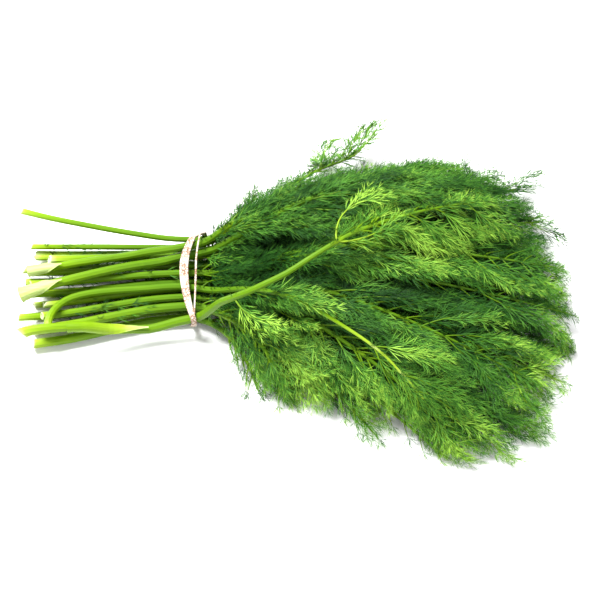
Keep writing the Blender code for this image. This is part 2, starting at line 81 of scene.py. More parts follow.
# How far the foliage reaches from the fan's centre, in millimetres, at angles from front to back.
REACH_ANGLES = (-48, -41, -36, -31, -24, -14, -5, 5, 13, 19, 27, 36, 46)
REACH = (58, 108, 160, 232, 262, 270, 276, 268, 252, 236, 190, 138, 84)
FAN_HALF_ANGLE = math.radians(40)
# Height of the middle of the pile at both ends, and how much it swells between them, in millimetres.
CROWN_AT_BAND = 32
CROWN_AT_TIPS = 20
CROWN_SWELL = 34
SIDE_DROOP = 0.62  # the share of its height that it loses at its sides


def smooth(t):
    """An S-curve from 0 to 1."""
    t = min(max(t, 0.0), 1.0)
    return t * t * (3 - 2 * t)


def between(low, high, share):
    return low + (high - low) * share


def spaced(first, last, spacing):
    """Distances from the first to the last, evenly spaced and about so far apart."""
    steps = max(1, round((last - first) / spacing))
    return [between(first, last, i / steps) for i in range(steps + 1)]


def fan_reach(angle):
    return float(np.interp(math.degrees(angle), REACH_ANGLES, REACH)) * MM


def pile_height(x, y):
    """Height of the pile over the table, which swells past the band and droops outwards."""
    away = Vector((x, y, 0)) - FAN_CENTRE
    angle = math.atan2(away.y, away.x)
    band = -FAN_CENTRE.x
    share = min(max((away.length - band) / (fan_reach(angle) - band), 0.0), 1.0)
    crown = between(CROWN_AT_BAND, CROWN_AT_TIPS, share) + CROWN_SWELL * math.sin(math.pi * share**0.8)
    side = min(abs(angle) / FAN_HALF_ANGLE, 1.1)
    return crown * (1 - SIDE_DROOP * side**2.4) * MM


# ================================================================ leafy stems: one stem
# A stem is a tapering stalk, cut at one end. Two opposite pairs of main ribs leave it at its nodes, and
# it ends in whorls of small leaves. Stems rest against each other, and none cuts through another.
TIP_RADIUS = 0.5 * MM
TIP_NEEDLE = 7 * MM
# The pairs of main ribs: their length, and the share of the leafy part that comes before them.
PAIR_LENGTHS = (44 * MM, 35 * MM)
PAIR_PLACES = ((0.12, 0.3), (0.52, 0.68))
PAIRS_APART = 24 * MM
PAIR_TURNS = (30, 46)  # degrees
BARE_STEP = 16 * MM
LEAFY_STEP = 24 * MM
NODE_LENGTH = 2.2 * MM
WHORL_SPACING = 10.6 * MM
WHORL_LENGTH = 1.3 * MM
LEAFY_GIRTH = 1.22  # the leafy part takes up so many times its radius
CLEARANCE = 0.3 * MM


def curve_through(points, spacing=2 * MM):
    """Points of a smooth curve (Catmull-Rom) through the given points."""
    points = [Vector(p) for p in points]
    ends = [2 * points[0] - points[1]] + points + [2 * points[-1] - points[-2]]
    curve = []
    for a, b, c, d in zip(ends, ends[1:], ends[2:], ends[3:]):
        steps = max(1, round((c - b).length / spacing))
        for step in range(steps):
            t = step / steps
            bend = (2 * a - 5 * b + 4 * c - d) * t**2 + (3 * b - 3 * c + d - a) * t**3
            curve.append(0.5 * (2 * b + (c - a) * t + bend))
    return curve + [points[-1]]


class Stem:
    """A stem along a curve, read by the distance from its cut end.

    Its rings stand along its bare length, between its nodes, and at the whorls of its tip.
    """

    def __init__(self, name, radius, curve, bare_for=20 * MM, loose=False):
        self.name, self.radius, self.curve, self.loose = name, radius, curve, loose
        steps = [(b - a).length for a, b in zip(curve, curve[1:])]
        self.distances = np.concatenate([[0], np.cumsum(steps)])
        self.length = float(self.distances[-1])
        past_band, past_bare = (sum(1 for point in curve if point.x < x) for x in (0, bare_for))
        self.band = float(self.distances[past_band])
        self.bare_to = float(self.distances[past_bare])
        self.main_ribs = self.plan_main_ribs()
        nodes = sorted({rib[0] for rib in self.main_ribs})
        self.leafy_from = nodes[0] - 5 * MM
        self.bare_rings = spaced(0, self.leafy_from - 4 * MM, BARE_STEP)
        self.nodes = []
        reached = self.leafy_from
        for node in nodes:
            self.nodes.append((node, spaced(reached, node, LEAFY_STEP)[1:]))
            reached = node + NODE_LENGTH
        start, end = reached + 9 * MM, self.length - 5 * MM
        roomy = end - start > 6 * MM
        self.whorls = spaced(start, end, WHORL_SPACING) if roomy else [min(start, end)]

    def at(self, distance):
        """(point, direction) at a distance from the cut end."""
        distance = min(max(distance, 0.0), self.length)
        i = min(int(np.searchsorted(self.distances, distance, "right")) - 1, len(self.curve) - 2)
        span = self.distances[i + 1] - self.distances[i]
        point = self.curve[i].lerp(self.curve[i + 1], (distance - self.distances[i]) / span)
        before, after = self.curve[max(i - 1, 0)], self.curve[min(i + 2, len(self.curve) - 1)]
        return point, (after - before).normalized()

    def radius_at(self, distance):
        """A stem keeps its thickness up to the band, and then thins down to a thread at its tip."""
        past = max(distance - self.band, 0) / (self.length - self.band)
        return between(self.radius, TIP_RADIUS, past**0.8)

    def plan_main_ribs(self):
        """The main ribs in opposite pairs: [(distance along the stem, length, side, turn from it)]."""
        draw = random.Random(self.name)
        leafy = self.length - self.band
        first = max(self.bare_to + 3 * MM, self.band + draw.uniform(*PAIR_PLACES[0]) * leafy)
        second = max(first + PAIRS_APART, self.band + draw.uniform(*PAIR_PLACES[1]) * leafy)
        ribs = []
        for distance, length in zip((first, second), PAIR_LENGTHS):
            for side in (-1, 1):
                size = draw.uniform(0.85, 1.15)
                ribs.append((distance, length * size, side, math.radians(draw.uniform(*PAIR_TURNS))))
        return ribs

    def lengths(self):
        """[(start, end, radius)] of the straight lengths that the stem takes up."""
        rings = [*self.bare_rings, self.leafy_from]
        for node, middles in self.nodes:
            rings += [*middles, node + NODE_LENGTH]
        for whorl in self.whorls:
            rings += [whorl, whorl + WHORL_LENGTH]
        last, along = self.at(self.length)
        tip = last + TIP_NEEDLE * along
        tip.z = max(tip.z, 0)
        centres = [self.at(ring)[0] for ring in rings] + [tip]
        lengths = []
        for near, start, end in zip(rings, centres, centres[1:]):
            girth = LEAFY_GIRTH if near >= self.leafy_from - 5 * MM else 1.0
            lengths.append((start, end, girth * self.radius_at(near)))
        return lengths


def gaps(start, end, starts, ends):
    """Least distances from one straight length to many."""
    a, b, between_starts = end - start, ends - starts, start - starts
    aa, bb = a @ a, (b * b).sum(1)
    ab, ac, bc = b @ a, between_starts @ a, (b * between_starts).sum(1)
    below = np.maximum(aa * bb - ab * ab, 1e-18)
    s = np.clip((ab * bc - ac * bb) / below, 0, 1)
    t = np.clip((ab * s + bc) / bb, 0, 1)
    s = np.clip((ab * t - ac) / aa, 0, 1)
    return np.linalg.norm(between_starts + s[:, None] * a - t[:, None] * b, axis=1)


def lies_clear(stem, stems):
    """Whether a stem cuts through none of the others."""
    if not stems:
        return True
    others = [length for other in stems for length in other.lengths()]
    starts, ends, radii = (np.array(column) for column in zip(*others))
    for start, end, radius in stem.lengths():
        gap = gaps(np.array(start), np.array(end), starts, ends)
        if not (gap > radii + radius + CLEARANCE).all():
            return False
    return True


# ================================================================ leafy stems: packed in the band
# Most stems are packed side by side where the band holds them. Their cut ends spread a little and sink to
# the table, and past the band each rides at its own height in the pile.
PACKED_STEMS = 24
STEM_RADIUS = (1.6 * MM, 2.8 * MM)
STEM_SPACING = 2.1 * MM
UNDER_STEMS = 1.55 * MM  # the band lies between the stems and the table
BUNDLE_HALF_WIDTH = 27 * MM
BUNDLE_HALF_HEIGHT = 14 * MM
BUNDLE_MIDDLE = 1.5 * MM
# How the stems settle in the band: how far they sink, close up and push apart in each round.
SETTLING_ROUNDS = 500
SETTLING_SINK = 0.0025
SETTLING_GATHER = 0.999
SETTLING_PUSH = 0.25
# Where stems are cut, and how they lie there: further apart, looser and a little to the front.
CUT_END = (-104 * MM, -86 * MM)
ENDS_SPREAD = 0.4
ENDS_LOOSEN = 0.12
ENDS_FORWARD = 9 * MM
# Directions of the outermost stems in the fan, in degrees, and shares of the pile's height they lie at.
FAN_ANGLES = (-42.5, 41)
PILE_LEVELS = (0.07, 0.8)
# Past the band, the stems rise into the pile from this distance, and over this length.
RISE_FROM = 15 * MM
RISE_LENGTH = 65 * MM
TRIES = 30


def packed_bundle():
    """[(y, z, radius)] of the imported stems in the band: they settle, and push apart until none touch."""
    draw = random.Random(7)
    radii = np.array([draw.uniform(*STEM_RADIUS) for _ in range(PACKED_STEMS)])
    golden_turn = math.pi * (3 - math.sqrt(5))
    spread = np.sqrt((np.arange(PACKED_STEMS) + 0.5) / PACKED_STEMS)
    angles = golden_turn * np.arange(PACKED_STEMS)
    across = BUNDLE_HALF_WIDTH * spread * np.cos(angles)
    height = BUNDLE_HALF_HEIGHT * spread * np.sin(angles)
    least = radii[:, None] + radii + STEM_SPACING
    floor = radii - BUNDLE_HALF_HEIGHT
    for _ in range(SETTLING_ROUNDS):
        height += SETTLING_SINK * (floor - height)
        across *= SETTLING_GATHER
        apart = np.stack([across[:, None] - across, height[:, None] - height], 2)
        distance = np.linalg.norm(apart, axis=2) + 1e-9
        push = np.maximum(least - distance, 0) / distance
        np.fill_diagonal(push, 0)
        moves = SETTLING_PUSH * (apart * push[:, :, None]).sum(1)
        across = across + moves[:, 0]
        height = np.maximum(height + moves[:, 1], floor)
    height += UNDER_STEMS + BUNDLE_HALF_HEIGHT
    return [(float(y) + BUNDLE_MIDDLE, float(z), float(r)) for y, z, r in zip(across, height, radii)]


def bundle_point(x, y, z, radius):
    """Where a stem is at x < 0 that lies at (y, z) in the band: the ends spread, and sink to the table."""
    share = smooth(x / CUT_END[0])
    under = (z - radius - UNDER_STEMS) * (1 + ENDS_LOOSEN * share) + UNDER_STEMS * (1 - share)
    return Vector((x, y * (1 + ENDS_SPREAD * share) - ENDS_FORWARD * share, under + radius))


def fan_point(y, z, level, tip, s):
    """A point of a packed stem's way from the band to its tip, for s from 0 to 1."""
    bend = Vector((min(max(0.3 * tip.x, 28 * MM), 0.6 * tip.x), y * 1.05, 0))
    plan = (1 - s) ** 2 * Vector((0, y, 0)) + 2 * s * (1 - s) * bend + s * s * tip
    height = level * pile_height(plan.x, plan.y)
    plan.z = between(z, height, smooth((plan.length - RISE_FROM) / RISE_LENGTH))
    return plan


def packed_stems():
    """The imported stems, from the lowest up. One that would cut through another is laid again."""
    bundle = packed_bundle()
    lowest_first = sorted(range(PACKED_STEMS), key=lambda i: bundle[i][1])
    front_first = sorted(range(PACKED_STEMS), key=lambda i: bundle[i][0])
    stems = []
    for rank, i in enumerate(lowest_first):
        y, z, radius = bundle[i]
        fan_share = front_first.index(i) / (PACKED_STEMS - 1)
        for attempt in range(TRIES):
            draw = random.Random(f"stem {i}, try {attempt}")
            rank_share = (rank + draw.uniform(-0.1, 0.1) * attempt) / (PACKED_STEMS - 1)
            level = max(between(*PILE_LEVELS, rank_share), 0.05)
            angle = math.radians(between(*FAN_ANGLES, fan_share) + draw.uniform(-1.2, 1.2))
            reach = fan_reach(angle) * draw.uniform(0.9, 0.99)
            tip = FAN_CENTRE + reach * Vector((math.cos(angle), math.sin(angle), 0))
            cut = draw.uniform(*CUT_END)
            bare = [bundle_point(cut * share, y, z, radius) for share in (1, 0.75, 0.5, 0.25)]
            leafy = [fan_point(y, z, level, tip, s / 8) for s in range(9)]
            stem = Stem(f"leafy_stem_{i + 1:02}", radius, curve_through(bare + leafy))
            if lies_clear(stem, stems):
                break
        stems.append(stem)
    return stems


packed = packed_stems()


# ================================================================ leafy stems: loose ones on top
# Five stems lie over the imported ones, under the same band. They are stiff, so they rest on the humps
# below them in long bows.
TOP_STEM = "leafy_stem_25"  # long and bright, aslant over all the others
FRONT_STEM = "leafy_stem_27"  # with a bent cut end, and bare among the leaves at the front
BACK_STEM = "leafy_stem_28"  # thin, and curves away at the back
# Each has its radius, how far past the band it is bare, and plan points from cut end to tip, in
# millimetres. A third number is the least height there.
LOOSE_STEMS = {
    "leafy_stem_26": (2.6, 40, (
        (-102, -14), (-72, -6), (-36, 4), (0, 13), (30, 18), (60, 26), (95, 36), (135, 44), (170, 48),
    )),
    FRONT_STEM: (2.1, 106, (
        (-83, -40), (-83.5, -33), (-81, -26), (-74, -18), (-60, -13), (-30, -10), (0, -9), (36, -22),
        (75, -44), (108, -65), (123, -78), (137, -92),
    )),
    BACK_STEM: (1.8, 20, (
        (-107, 51, 12), (-82, 43, 14), (-36, 32, 16), (0, 27, 16), (30, 30, 20), (58, 47), (80, 66),
        (94, 80), (104, 97),
    )),
    "leafy_stem_29": (2.3, 20, (
        (-99, 4), (-60, 9), (-30, 13), (0, 16), (30, 24), (62, 39), (104, 52), (138, 58),
    )),
    TOP_STEM: (2.7, 84, (
        (-101, -43), (-60, -38), (-24, -33), (0, -29), (14, -30), (30, -33), (43, -31), (60, -24),
        (77, -14), (96, -2), (112, 6), (136, 17), (172, 32),
    )),
}
RESTING_GAP = 1.3 * MM
HELD_TO = 12 * MM  # the band keeps them down to here
STIFF_BOW = 36 * MM  # the greater, the longer the bow
NUDGE = 0.4 * MM


def height_over(stems, x, y, radius):
    """Height of the axis of a stem laid over these stems at (x, y)."""
    height = radius
    for stem in stems:
        need = stem.radius + radius + RESTING_GAP
        for a, b in zip(stem.curve, stem.curve[1:]):
            if a.x <= x < b.x:
                across = 0.85 * abs(y - a.lerp(b, (x - a.x) / (b.x - a.x)).y)
                if across < need:
                    height = max(height, a.z + math.sqrt(need**2 - across**2))
    return height


def bowed(points):
    """The points raised to stiff bows over the humps among them, on each side of the band by itself."""
    for side in (-1, 1):
        humps = [point.copy() for point in points if side * (point.x - HELD_TO) >= 0]
        for point in points:
            if side * (point.x - HELD_TO) >= 0:
                fall = [(hump.xy - point.xy).length_squared / STIFF_BOW for hump in humps]
                point.z = max(hump.z - below for hump, below in zip(humps, fall))
    heights = [point.z for point in points]
    for i in range(1, len(points) - 1):
        points[i].z = (heights[i - 1] + 2 * heights[i] + heights[i + 1]) / 4
    return points


def loose_stems():
    """The stems that lie over the others, dropped on them one after another."""
    stems = []
    for name, (radius, bare, plan) in LOOSE_STEMS.items():
        radius *= MM
        points = curve_through([MM * Vector((*place, 0)[:3]) for place in plan], 6 * MM)
        for point in points:
            resting = height_over(packed + stems, point.x, point.y, radius)
            rise = smooth((point.x - HELD_TO) / RISE_LENGTH)
            over_pile = between(resting, pile_height(point.x, point.y) + radius, rise)
            point.z = max(point.z, resting, over_pile)
        points = bowed(points)
        for attempt in range(TRIES):
            stem = Stem(name, radius, curve_through(points), bare * MM, loose=True)
            if lies_clear(stem, packed + stems):
                break
            for point in points:
                point.z += NUDGE
        stems.append(stem)
    return stems


stems = packed + loose_stems()


# ================================================================ leafy stems: thread leaves
# A dill leaf ends in threads. At each node of its finest ribs a pair of them leaves, forked once and
# swept forward. A few grown shapes of such a node serve for all, turned and sized by where they stand.
NODE_SHAPES = 9
NODE_REACH = 8.5 * MM  # length of the middle thread
THREAD_LENGTH = 13.5 * MM
THREAD_WIDTH = 0.6 * MM
MIDDLE_WIDTH = 0.5 * MM
BELLY = 0.4  # a thread is widest at this share of its length, and its keel is this share of its width


def square_to(along):
    """(left, up) of something that runs along a direction."""
    left = UP.cross(along).normalized()
    return left, along.cross(left)


def add_thread(mesh, painted_light_layer, start, tip, width, foot_painted_light):
    """A thread: pointed at its foot and its tip, widest between them, and keeled along its back. Its "tip"
    value is painted light: shade at its foot, a highlight at its tip.
    """
    left, up = square_to((tip - start).normalized())
    belly = start.lerp(tip, BELLY) - BELLY * width * up
    side = width / 2 * left
    corners = []
    # painted light: dark at the foot as painted shade, a painted highlight at the tip, between at the sides
    for place, green in ((start, foot_painted_light), (tip, 1), (belly + side, 0.6), (belly - side, 0.6)):
        corners.append(mesh.verts.new(place))
        corners[-1][painted_light_layer] = green
    foot, end, left_side, right_side = corners
    mesh.faces.new((foot, end, left_side))
    mesh.faces.new((end, foot, right_side))
    mesh.faces.new((foot, left_side, right_side))
    mesh.faces.new((end, right_side, left_side))


def swung(direction, side, lean, roll):
    """A direction leant from another towards a side, which is itself rolled round it."""
    up = direction.cross(side)
    out = math.cos(roll) * side + math.sin(roll) * up
    return (math.cos(lean) * direction + math.sin(lean) * out).normalized()


def node_shape(number):
    """A middle thread, and one to each side that carries a branch."""
    draw = random.Random(f"leaf node {number}")
    mesh = bmesh.new()
    painted_light_layer = mesh.verts.layers.float.new("tip")
    ahead, across = Vector((1, 0, 0)), Vector((0, 1, 0))
    add_thread(mesh, painted_light_layer, -0.6 * MM * ahead, NODE_REACH * ahead, MIDDLE_WIDTH, 0)
    for side in (-1, 1):
        start = side * draw.uniform(0, 0.5) * MM * ahead
        way = swung(ahead, side * across, math.radians(draw.uniform(13, 28)), draw.uniform(-0.4, 0.5))
        length = THREAD_LENGTH * draw.uniform(0.75, 1.1)
        add_thread(mesh, painted_light_layer, start, start + length * way, THREAD_WIDTH, 0.1)
        fork = start + draw.uniform(0.22, 0.42) * length * way
        aside = (side * across - (side * across).dot(way) * way).normalized()
        lean = math.radians(draw.uniform(15, 26))
        branch = swung(way, draw.choice((-1, 1, 1)) * aside, lean, draw.uniform(-0.6, 0.6))
        end = fork + length * draw.uniform(0.5, 0.68) * branch
        add_thread(mesh, painted_light_layer, fork, end, 0.85 * THREAD_WIDTH, 0.3)
    data = bpy.data.meshes.new(f"node_shape_{number}")
    mesh.to_mesh(data)
    mesh.free()
    return bpy.data.objects.new(data.name, data)


node_shapes = bpy.data.collections.new("node_shapes")
for number in range(NODE_SHAPES):
    node_shapes.objects.link(node_shape(number))


# ================================================================ leafy stems: greens of leaf and stalk
# Fresh dill: matte thread leaves from blue-green to lime, and juicy ribbed stalks with a soft sheen,
# paler where they were cut. A stem's own tone, and paleness along it, come with its mesh.
# Leaf greens from dark to pale. The shade read on them includes painted shade at each thread's foot and
# deep in the pile, and a painted highlight towards each thread's tip.
LEAF_GREENS = (
    (0.14, (0.004, 0.026, 0.002)),
    (0.42, (0.012, 0.062, 0.005)),
    (0.7, (0.062, 0.19, 0.016)),
    (1.0, (0.27, 0.48, 0.05)),
)
STALK_GREENS = (
    (0.0, (0.035, 0.11, 0.003)),
    (0.35, (0.14, 0.26, 0.002)),
    (0.62, (0.25, 0.37, 0.02)),
    (0.78, (0.36, 0.46, 0.13)),
    (1.0, (0.55, 0.6, 0.38)),
)


class Finish:
    """A material with the nodes that mix its colour."""

    def __init__(self, name, roughness):
        self.material = bpy.data.materials.new(name)
        self.material.use_nodes = True
        self.nodes, self.links = self.material.node_tree.nodes, self.material.node_tree.links
        self.surface = self.nodes["Principled BSDF"]
        self.surface.inputs["Roughness"].default_value = roughness

    def attribute(self, name):
        node = self.nodes.new("ShaderNodeAttribute")
        node.attribute_name = name
        return node.outputs["Fac"]

    def place(self):
        return self.nodes.new("ShaderNodeTexCoord").outputs["Object"]

    def noise(self, place, scale, detail):
        node = self.nodes.new("ShaderNodeTexNoise")
        node.inputs["Scale"].default_value = scale
        node.inputs["Detail"].default_value = detail
        self.links.new(place, node.inputs["Vector"])
        return node.outputs["Fac"]

    def plus(self, first, share, second):
        """The first value, and a share of the second."""
        node = self.nodes.new("ShaderNodeMath")
        node.operation = "MULTIPLY_ADD"
        self.links.new(second, node.inputs[0])
        node.inputs[1].default_value = share
        self.links.new(first, node.inputs[2])
        return node.outputs[0]

    def colour_by(self, shade, stops):
        """The surface's colour: a ramp through the stops, read at the shade."""
        ramp = self.nodes.new("ShaderNodeValToRGB")
        elements = ramp.color_ramp.elements
        while len(elements) < len(stops):
            elements.new(0.5)
        for element, (place, colour) in zip(elements, stops):
            element.position = place
            element.color = (*colour, 1)
        self.links.new(shade, ramp.inputs["Fac"])
        self.links.new(ramp.outputs["Color"], self.surface.inputs["Base Color"])


def leaf_finish():
    finish = Finish("leaf", 0.62)
    finish.surface.inputs["Specular IOR Level"].default_value = 0.12
    patches = finish.noise(finish.place(), scale=60, detail=3)
    # the tone carries painted shade deep in the pile
    shade = finish.plus(finish.attribute("tone"), 0.35, patches)
    # the "tip" value paints shade at each thread's foot and a highlight towards its tip
    shade = finish.plus(shade, 0.5, finish.attribute("tip"))
    finish.colour_by(shade, LEAF_GREENS)
    return finish.material


def stalk_finish():
    finish = Finish("stalk", 0.42)
    finish.surface.inputs["Specular IOR Level"].default_value = 0.15
    stretch = finish.nodes.new("ShaderNodeMapping")
    stretch.inputs["Scale"].default_value = (25, 900, 900)  # long and fine along the stalk
    finish.links.new(finish.place(), stretch.inputs["Vector"])
    streaks = finish.noise(stretch.outputs["Vector"], scale=1, detail=2)
    shade = finish.plus(finish.attribute("pale"), 0.3, finish.attribute("tone"))
    shade = finish.plus(shade, 0.16, streaks)
    finish.colour_by(shade, STALK_GREENS)
    return finish.material


leaf = leaf_finish()
stalk = stalk_finish()


# ================================================================ leafy stems: stalks and sheaths
# A stalk is ribbed, and hollow where the knife cut it aslant. Some flare at the cut end, where the sheath
# of a lost leaf clasped them; three of the loose ones still wear such a sheath.
RIDGES = 9
RIDGE_HEIGHT = 0.03  # as a share of the stalk's radius
STALK_STEP = 5 * MM
# The hollow end, from its bottom over the lip: (distance from the cut, share of the radius).
HOLLOW = ((7 * MM, 0.3), (7 * MM, 0.5), (0.8 * MM, 0.62), (0, 0.74), (0, 0.94), (0.6 * MM, 1.0))
SLANT_DEPTH = 8 * MM
FLARE_LENGTH = 9 * MM
PALE_LENGTH = 70 * MM
# How much paler a stalk is at its cut, at its nodes, and where it lies bare at the front.
FRESH_CUT = 0.3
PALE_JOINT = 0.25
PALE_FAR_PART = 0.46
# Where along their stalks sheaths start and end, in millimetres.
SHEATHS = {TOP_STEM: (30, 80), "leafy_stem_26": (0.5, 27), "leafy_stem_29": (0.5, 22)}
SHEATH_ROWS = 14
SHEATH_COLUMNS = 9
SHEATH_GAP = 0.12 * MM
SHEATH_THICKNESS = 0.35 * MM
SHEATH_LIFT = 1.6 * MM
SHEATH_HALF_ANGLES = (118, 5)  # at its start and its point, in degrees


def flare_at(stem, distance):
    return 1 + stem.flare * math.exp(-distance / FLARE_LENGTH)


def stalk_paleness(stem, distance, share, x):
    """How pale the stalk is: most at the cut and in the hollow, and a little at its nodes."""
    pale = stem.pale * math.exp(-distance / PALE_LENGTH * 2.2)
    pale += FRESH_CUT * math.exp(-distance / SLANT_DEPTH) + (FRESH_CUT if share < 0.95 else 0)
    pale += PALE_JOINT * max(math.exp(-(((distance - node[0]) / (3 * MM)) ** 2)) for node in stem.nodes)
    if stem.name == FRONT_STEM:
        pale += PALE_FAR_PART * smooth((x - 70 * MM) / (35 * MM))
    return pale


def add_stalk(mesh, stem, layers):
    """The stalk's skin as closed rings of ridges, with a slanted and hollow cut end."""
    draw = random.Random(f"stalk of {stem.name}")
    slant, slant_turn = draw.uniform(0.1, 0.9), draw.uniform(0, 2 * math.pi)
    sides = 2 * RIDGES
    last = None
    along_stalk = [(distance, 1.0) for distance in spaced(STALK_STEP, stem.length, STALK_STEP)]
    for distance, share in (*HOLLOW, *along_stalk):
        point, along = stem.at(distance)
        left, up = square_to(along)
        radius = stem.radius_at(distance) * share * flare_at(stem, distance)
        pale = stalk_paleness(stem, distance, share, point.x)
        corners = []
        for i in range(sides):
            angle = 2 * math.pi * i / sides
            ridge = 1 + (RIDGE_HEIGHT if i % 2 else -RIDGE_HEIGHT) * (share > 0.9)
            out = math.cos(angle) * left + math.sin(angle) * up
            lean = slant * radius * (1 + math.cos(angle - slant_turn)) if distance < SLANT_DEPTH else 0
            place = point + radius * ridge * out + lean * along * (1 - distance / SLANT_DEPTH)
            corners.append(mesh.verts.new(place))
            corners[-1][layers.pale] = pale
            corners[-1][layers.tone] = stem.tone
        if last is None:
            mesh.faces.new(corners[::-1])
        else:
            for i in range(sides):
                j = (i + 1) % sides
                mesh.faces.new((last[i], last[j], corners[j], corners[i]))
        last = corners
    mesh.faces.new(last)


def sheath_skin(mesh, stem, start, end, lift, layers):
    """One skin of a sheath, as rows of its corners. Its ragged sides hug the stalk, and its point lifts."""
    pale_at_start = stem.pale * math.exp(-start / (32 * MM)) + FRESH_CUT * math.exp(-start / SLANT_DEPTH)
    rows = []
    for row in range(SHEATH_ROWS + 1):
        share = row / SHEATH_ROWS
        distance = between(start, end, share)
        point, along = stem.at(distance)
        left, up = square_to(along)
        radius = stem.radius_at(distance) * flare_at(stem, distance) + SHEATH_GAP + lift
        radius += SHEATH_LIFT * smooth((share - 0.72) / 0.28)
        half = math.radians(between(*SHEATH_HALF_ANGLES, smooth((share - 0.3) / 0.7) ** 0.8))
        corners = []
        for column in range(SHEATH_COLUMNS + 1):
            angle = math.pi / 2 + math.radians(14) + half * (2 * column / SHEATH_COLUMNS - 1)
            ragged = 0.5 * MM * math.sin(23 * share + 5) * (column in (0, SHEATH_COLUMNS))
            out = math.cos(angle) * left + math.sin(angle) * up
            corners.append(mesh.verts.new(point + (radius + abs(ragged)) * out))
            corners[-1][layers.pale] = between(pale_at_start, 0.72, share**1.5)
            corners[-1][layers.tone] = stem.tone
        rows.append(corners)
    return rows


def add_sheath(mesh, stem, start, end, layers):
    """A leaf's sheath: a thin pale sleeve, open below, as two skins closed along their edges."""
    inner, outer = (sheath_skin(mesh, stem, start, end, lift, layers) for lift in (0.0, SHEATH_THICKNESS))
    for row in range(SHEATH_ROWS):
        for i in range(SHEATH_COLUMNS):
            a, b = inner[row], inner[row + 1]
            mesh.faces.new((a[i], b[i], b[i + 1], a[i + 1]))
            a, b = outer[row], outer[row + 1]
            mesh.faces.new((a[i + 1], b[i + 1], b[i], a[i]))
        for i in (0, SHEATH_COLUMNS):
            side = (inner[row][i], outer[row][i], outer[row + 1][i], inner[row + 1][i])
            mesh.faces.new(side if i == 0 else side[::-1])
    for row in (0, SHEATH_ROWS):
        for i in range(SHEATH_COLUMNS):
            edge = (inner[row][i], inner[row][i + 1], outer[row][i + 1], outer[row][i])
            mesh.faces.new(edge if row == 0 else edge[::-1])


# ================================================================ leafy stems: edges and shades
# Seen from above, the foliage has ragged edges and grows in lighter and darker patches, from young lime
# leaves to old blue-green ones. At the front it parts over a stem that lies on it.
EDGE_MARGIN = 5 * MM  # ribs end so far inside the edges
# Outline of the foliage in plan, in millimetres: front and back edges as (x, y), the far edge as (y, x).
FRONT_EDGE = (
    (0, -24), (6, -25), (21, -35), (36, -56), (48, -74), (66, -84), (78, -80), (92, -90), (104, -85),
    (120, -92), (138, -106), (154, -119), (166, -108), (188, -112), (212, -99), (226, -64), (240, -34),
)
BACK_EDGE = (
    (0, 30), (15, 32), (36, 40), (48, 48), (60, 44), (84, 46), (104, 54), (122, 66), (136, 80),
    (146, 74), (158, 90), (168, 74), (184, 76), (196, 58), (212, 56), (236, 14),
)
FAR_EDGE = (
    (-125, 190), (-114, 204), (-100, 210), (-90, 214), (-78, 207), (-64, 215), (-51, 213), (-40, 238),
    (-30, 230), (-22, 236), (-7, 218), (3, 217), (14, 206), (30, 214), (46, 200), (52, 210), (64, 192),
    (75, 188), (90, 120),
)
# How high the foliage is along its back edge, as (x, z), and how much further back it reaches below that.
BACK_HEIGHTS = ((0, 20), (40, 31), (88, 34), (112, 26), (136, 12), (240, 6))
BACK_SLOPE = 0.58
# Where leaves are younger and limer, or older and darker, in plan: (x, y, reach, change of shade).
SHADE_PATCHES = (
    (58, -52, 17, 0.36), (68, -80, 14, 0.34), (164, -112, 30, 0.26), (205, -60, 26, 0.14),
    (102, -76, 18, 0.16), (59, 28, 30, -0.12), (90, -52, 15, -0.14), (169, -74, 20, -0.1),
    (18, -8, 24, -0.1), (140, 70, 26, -0.06), (150, -20, 26, 0.06), (192, 22, 24, -0.1),
    (205, -36, 30, 0.18), (205, -92, 24, 0.14),
)
# Over the front stem, along x, the leaves part so that it shows.
PARTING = (88 * MM, 140 * MM)
PARTING_HALF_WIDTH = 15 * MM
PARTING_DEPTH = 7 * MM


def read_off(outline, at):
    """A place on an outline given by its points."""
    return float(np.interp(at / MM, *zip(*outline))) * MM


def room_aside(x, y, z):
    """How far a place is inside the edges of the foliage. Lower leaves reach further back."""
    back = read_off(BACK_EDGE, x) + BACK_SLOPE * max(read_off(BACK_HEIGHTS, x) - z, 0)
    return min(y - read_off(FRONT_EDGE, x), back - y, read_off(FAR_EDGE, y) - x)


def patch_of_shade(place):
    """How much limer or darker the leaves are about a place."""
    shade = 0.0
    for x, y, reach, change in SHADE_PATCHES:
        away = (place.x / MM - x) ** 2 + (place.y / MM - y) ** 2
        shade += change * math.exp(-away / reach**2)
    return shade


def nearest_on(curve, place):
    """(distance in plan, index) of the point of a curve that is nearest to a place."""
    return min(((point.xy - place).length, i) for i, point in enumerate(curve))


def parting(place):
    """How high leaves may lie, in metres, so that they do not cover the stem at the front."""
    if not PARTING[0] < place.x < PARTING[1]:
        return 1
    shown = next(stem for stem in stems if stem.name == FRONT_STEM)
    away, near = nearest_on(shown.curve, place.xy)
    return shown.curve[near].z - PARTING_DEPTH if away < PARTING_HALF_WIDTH else 1


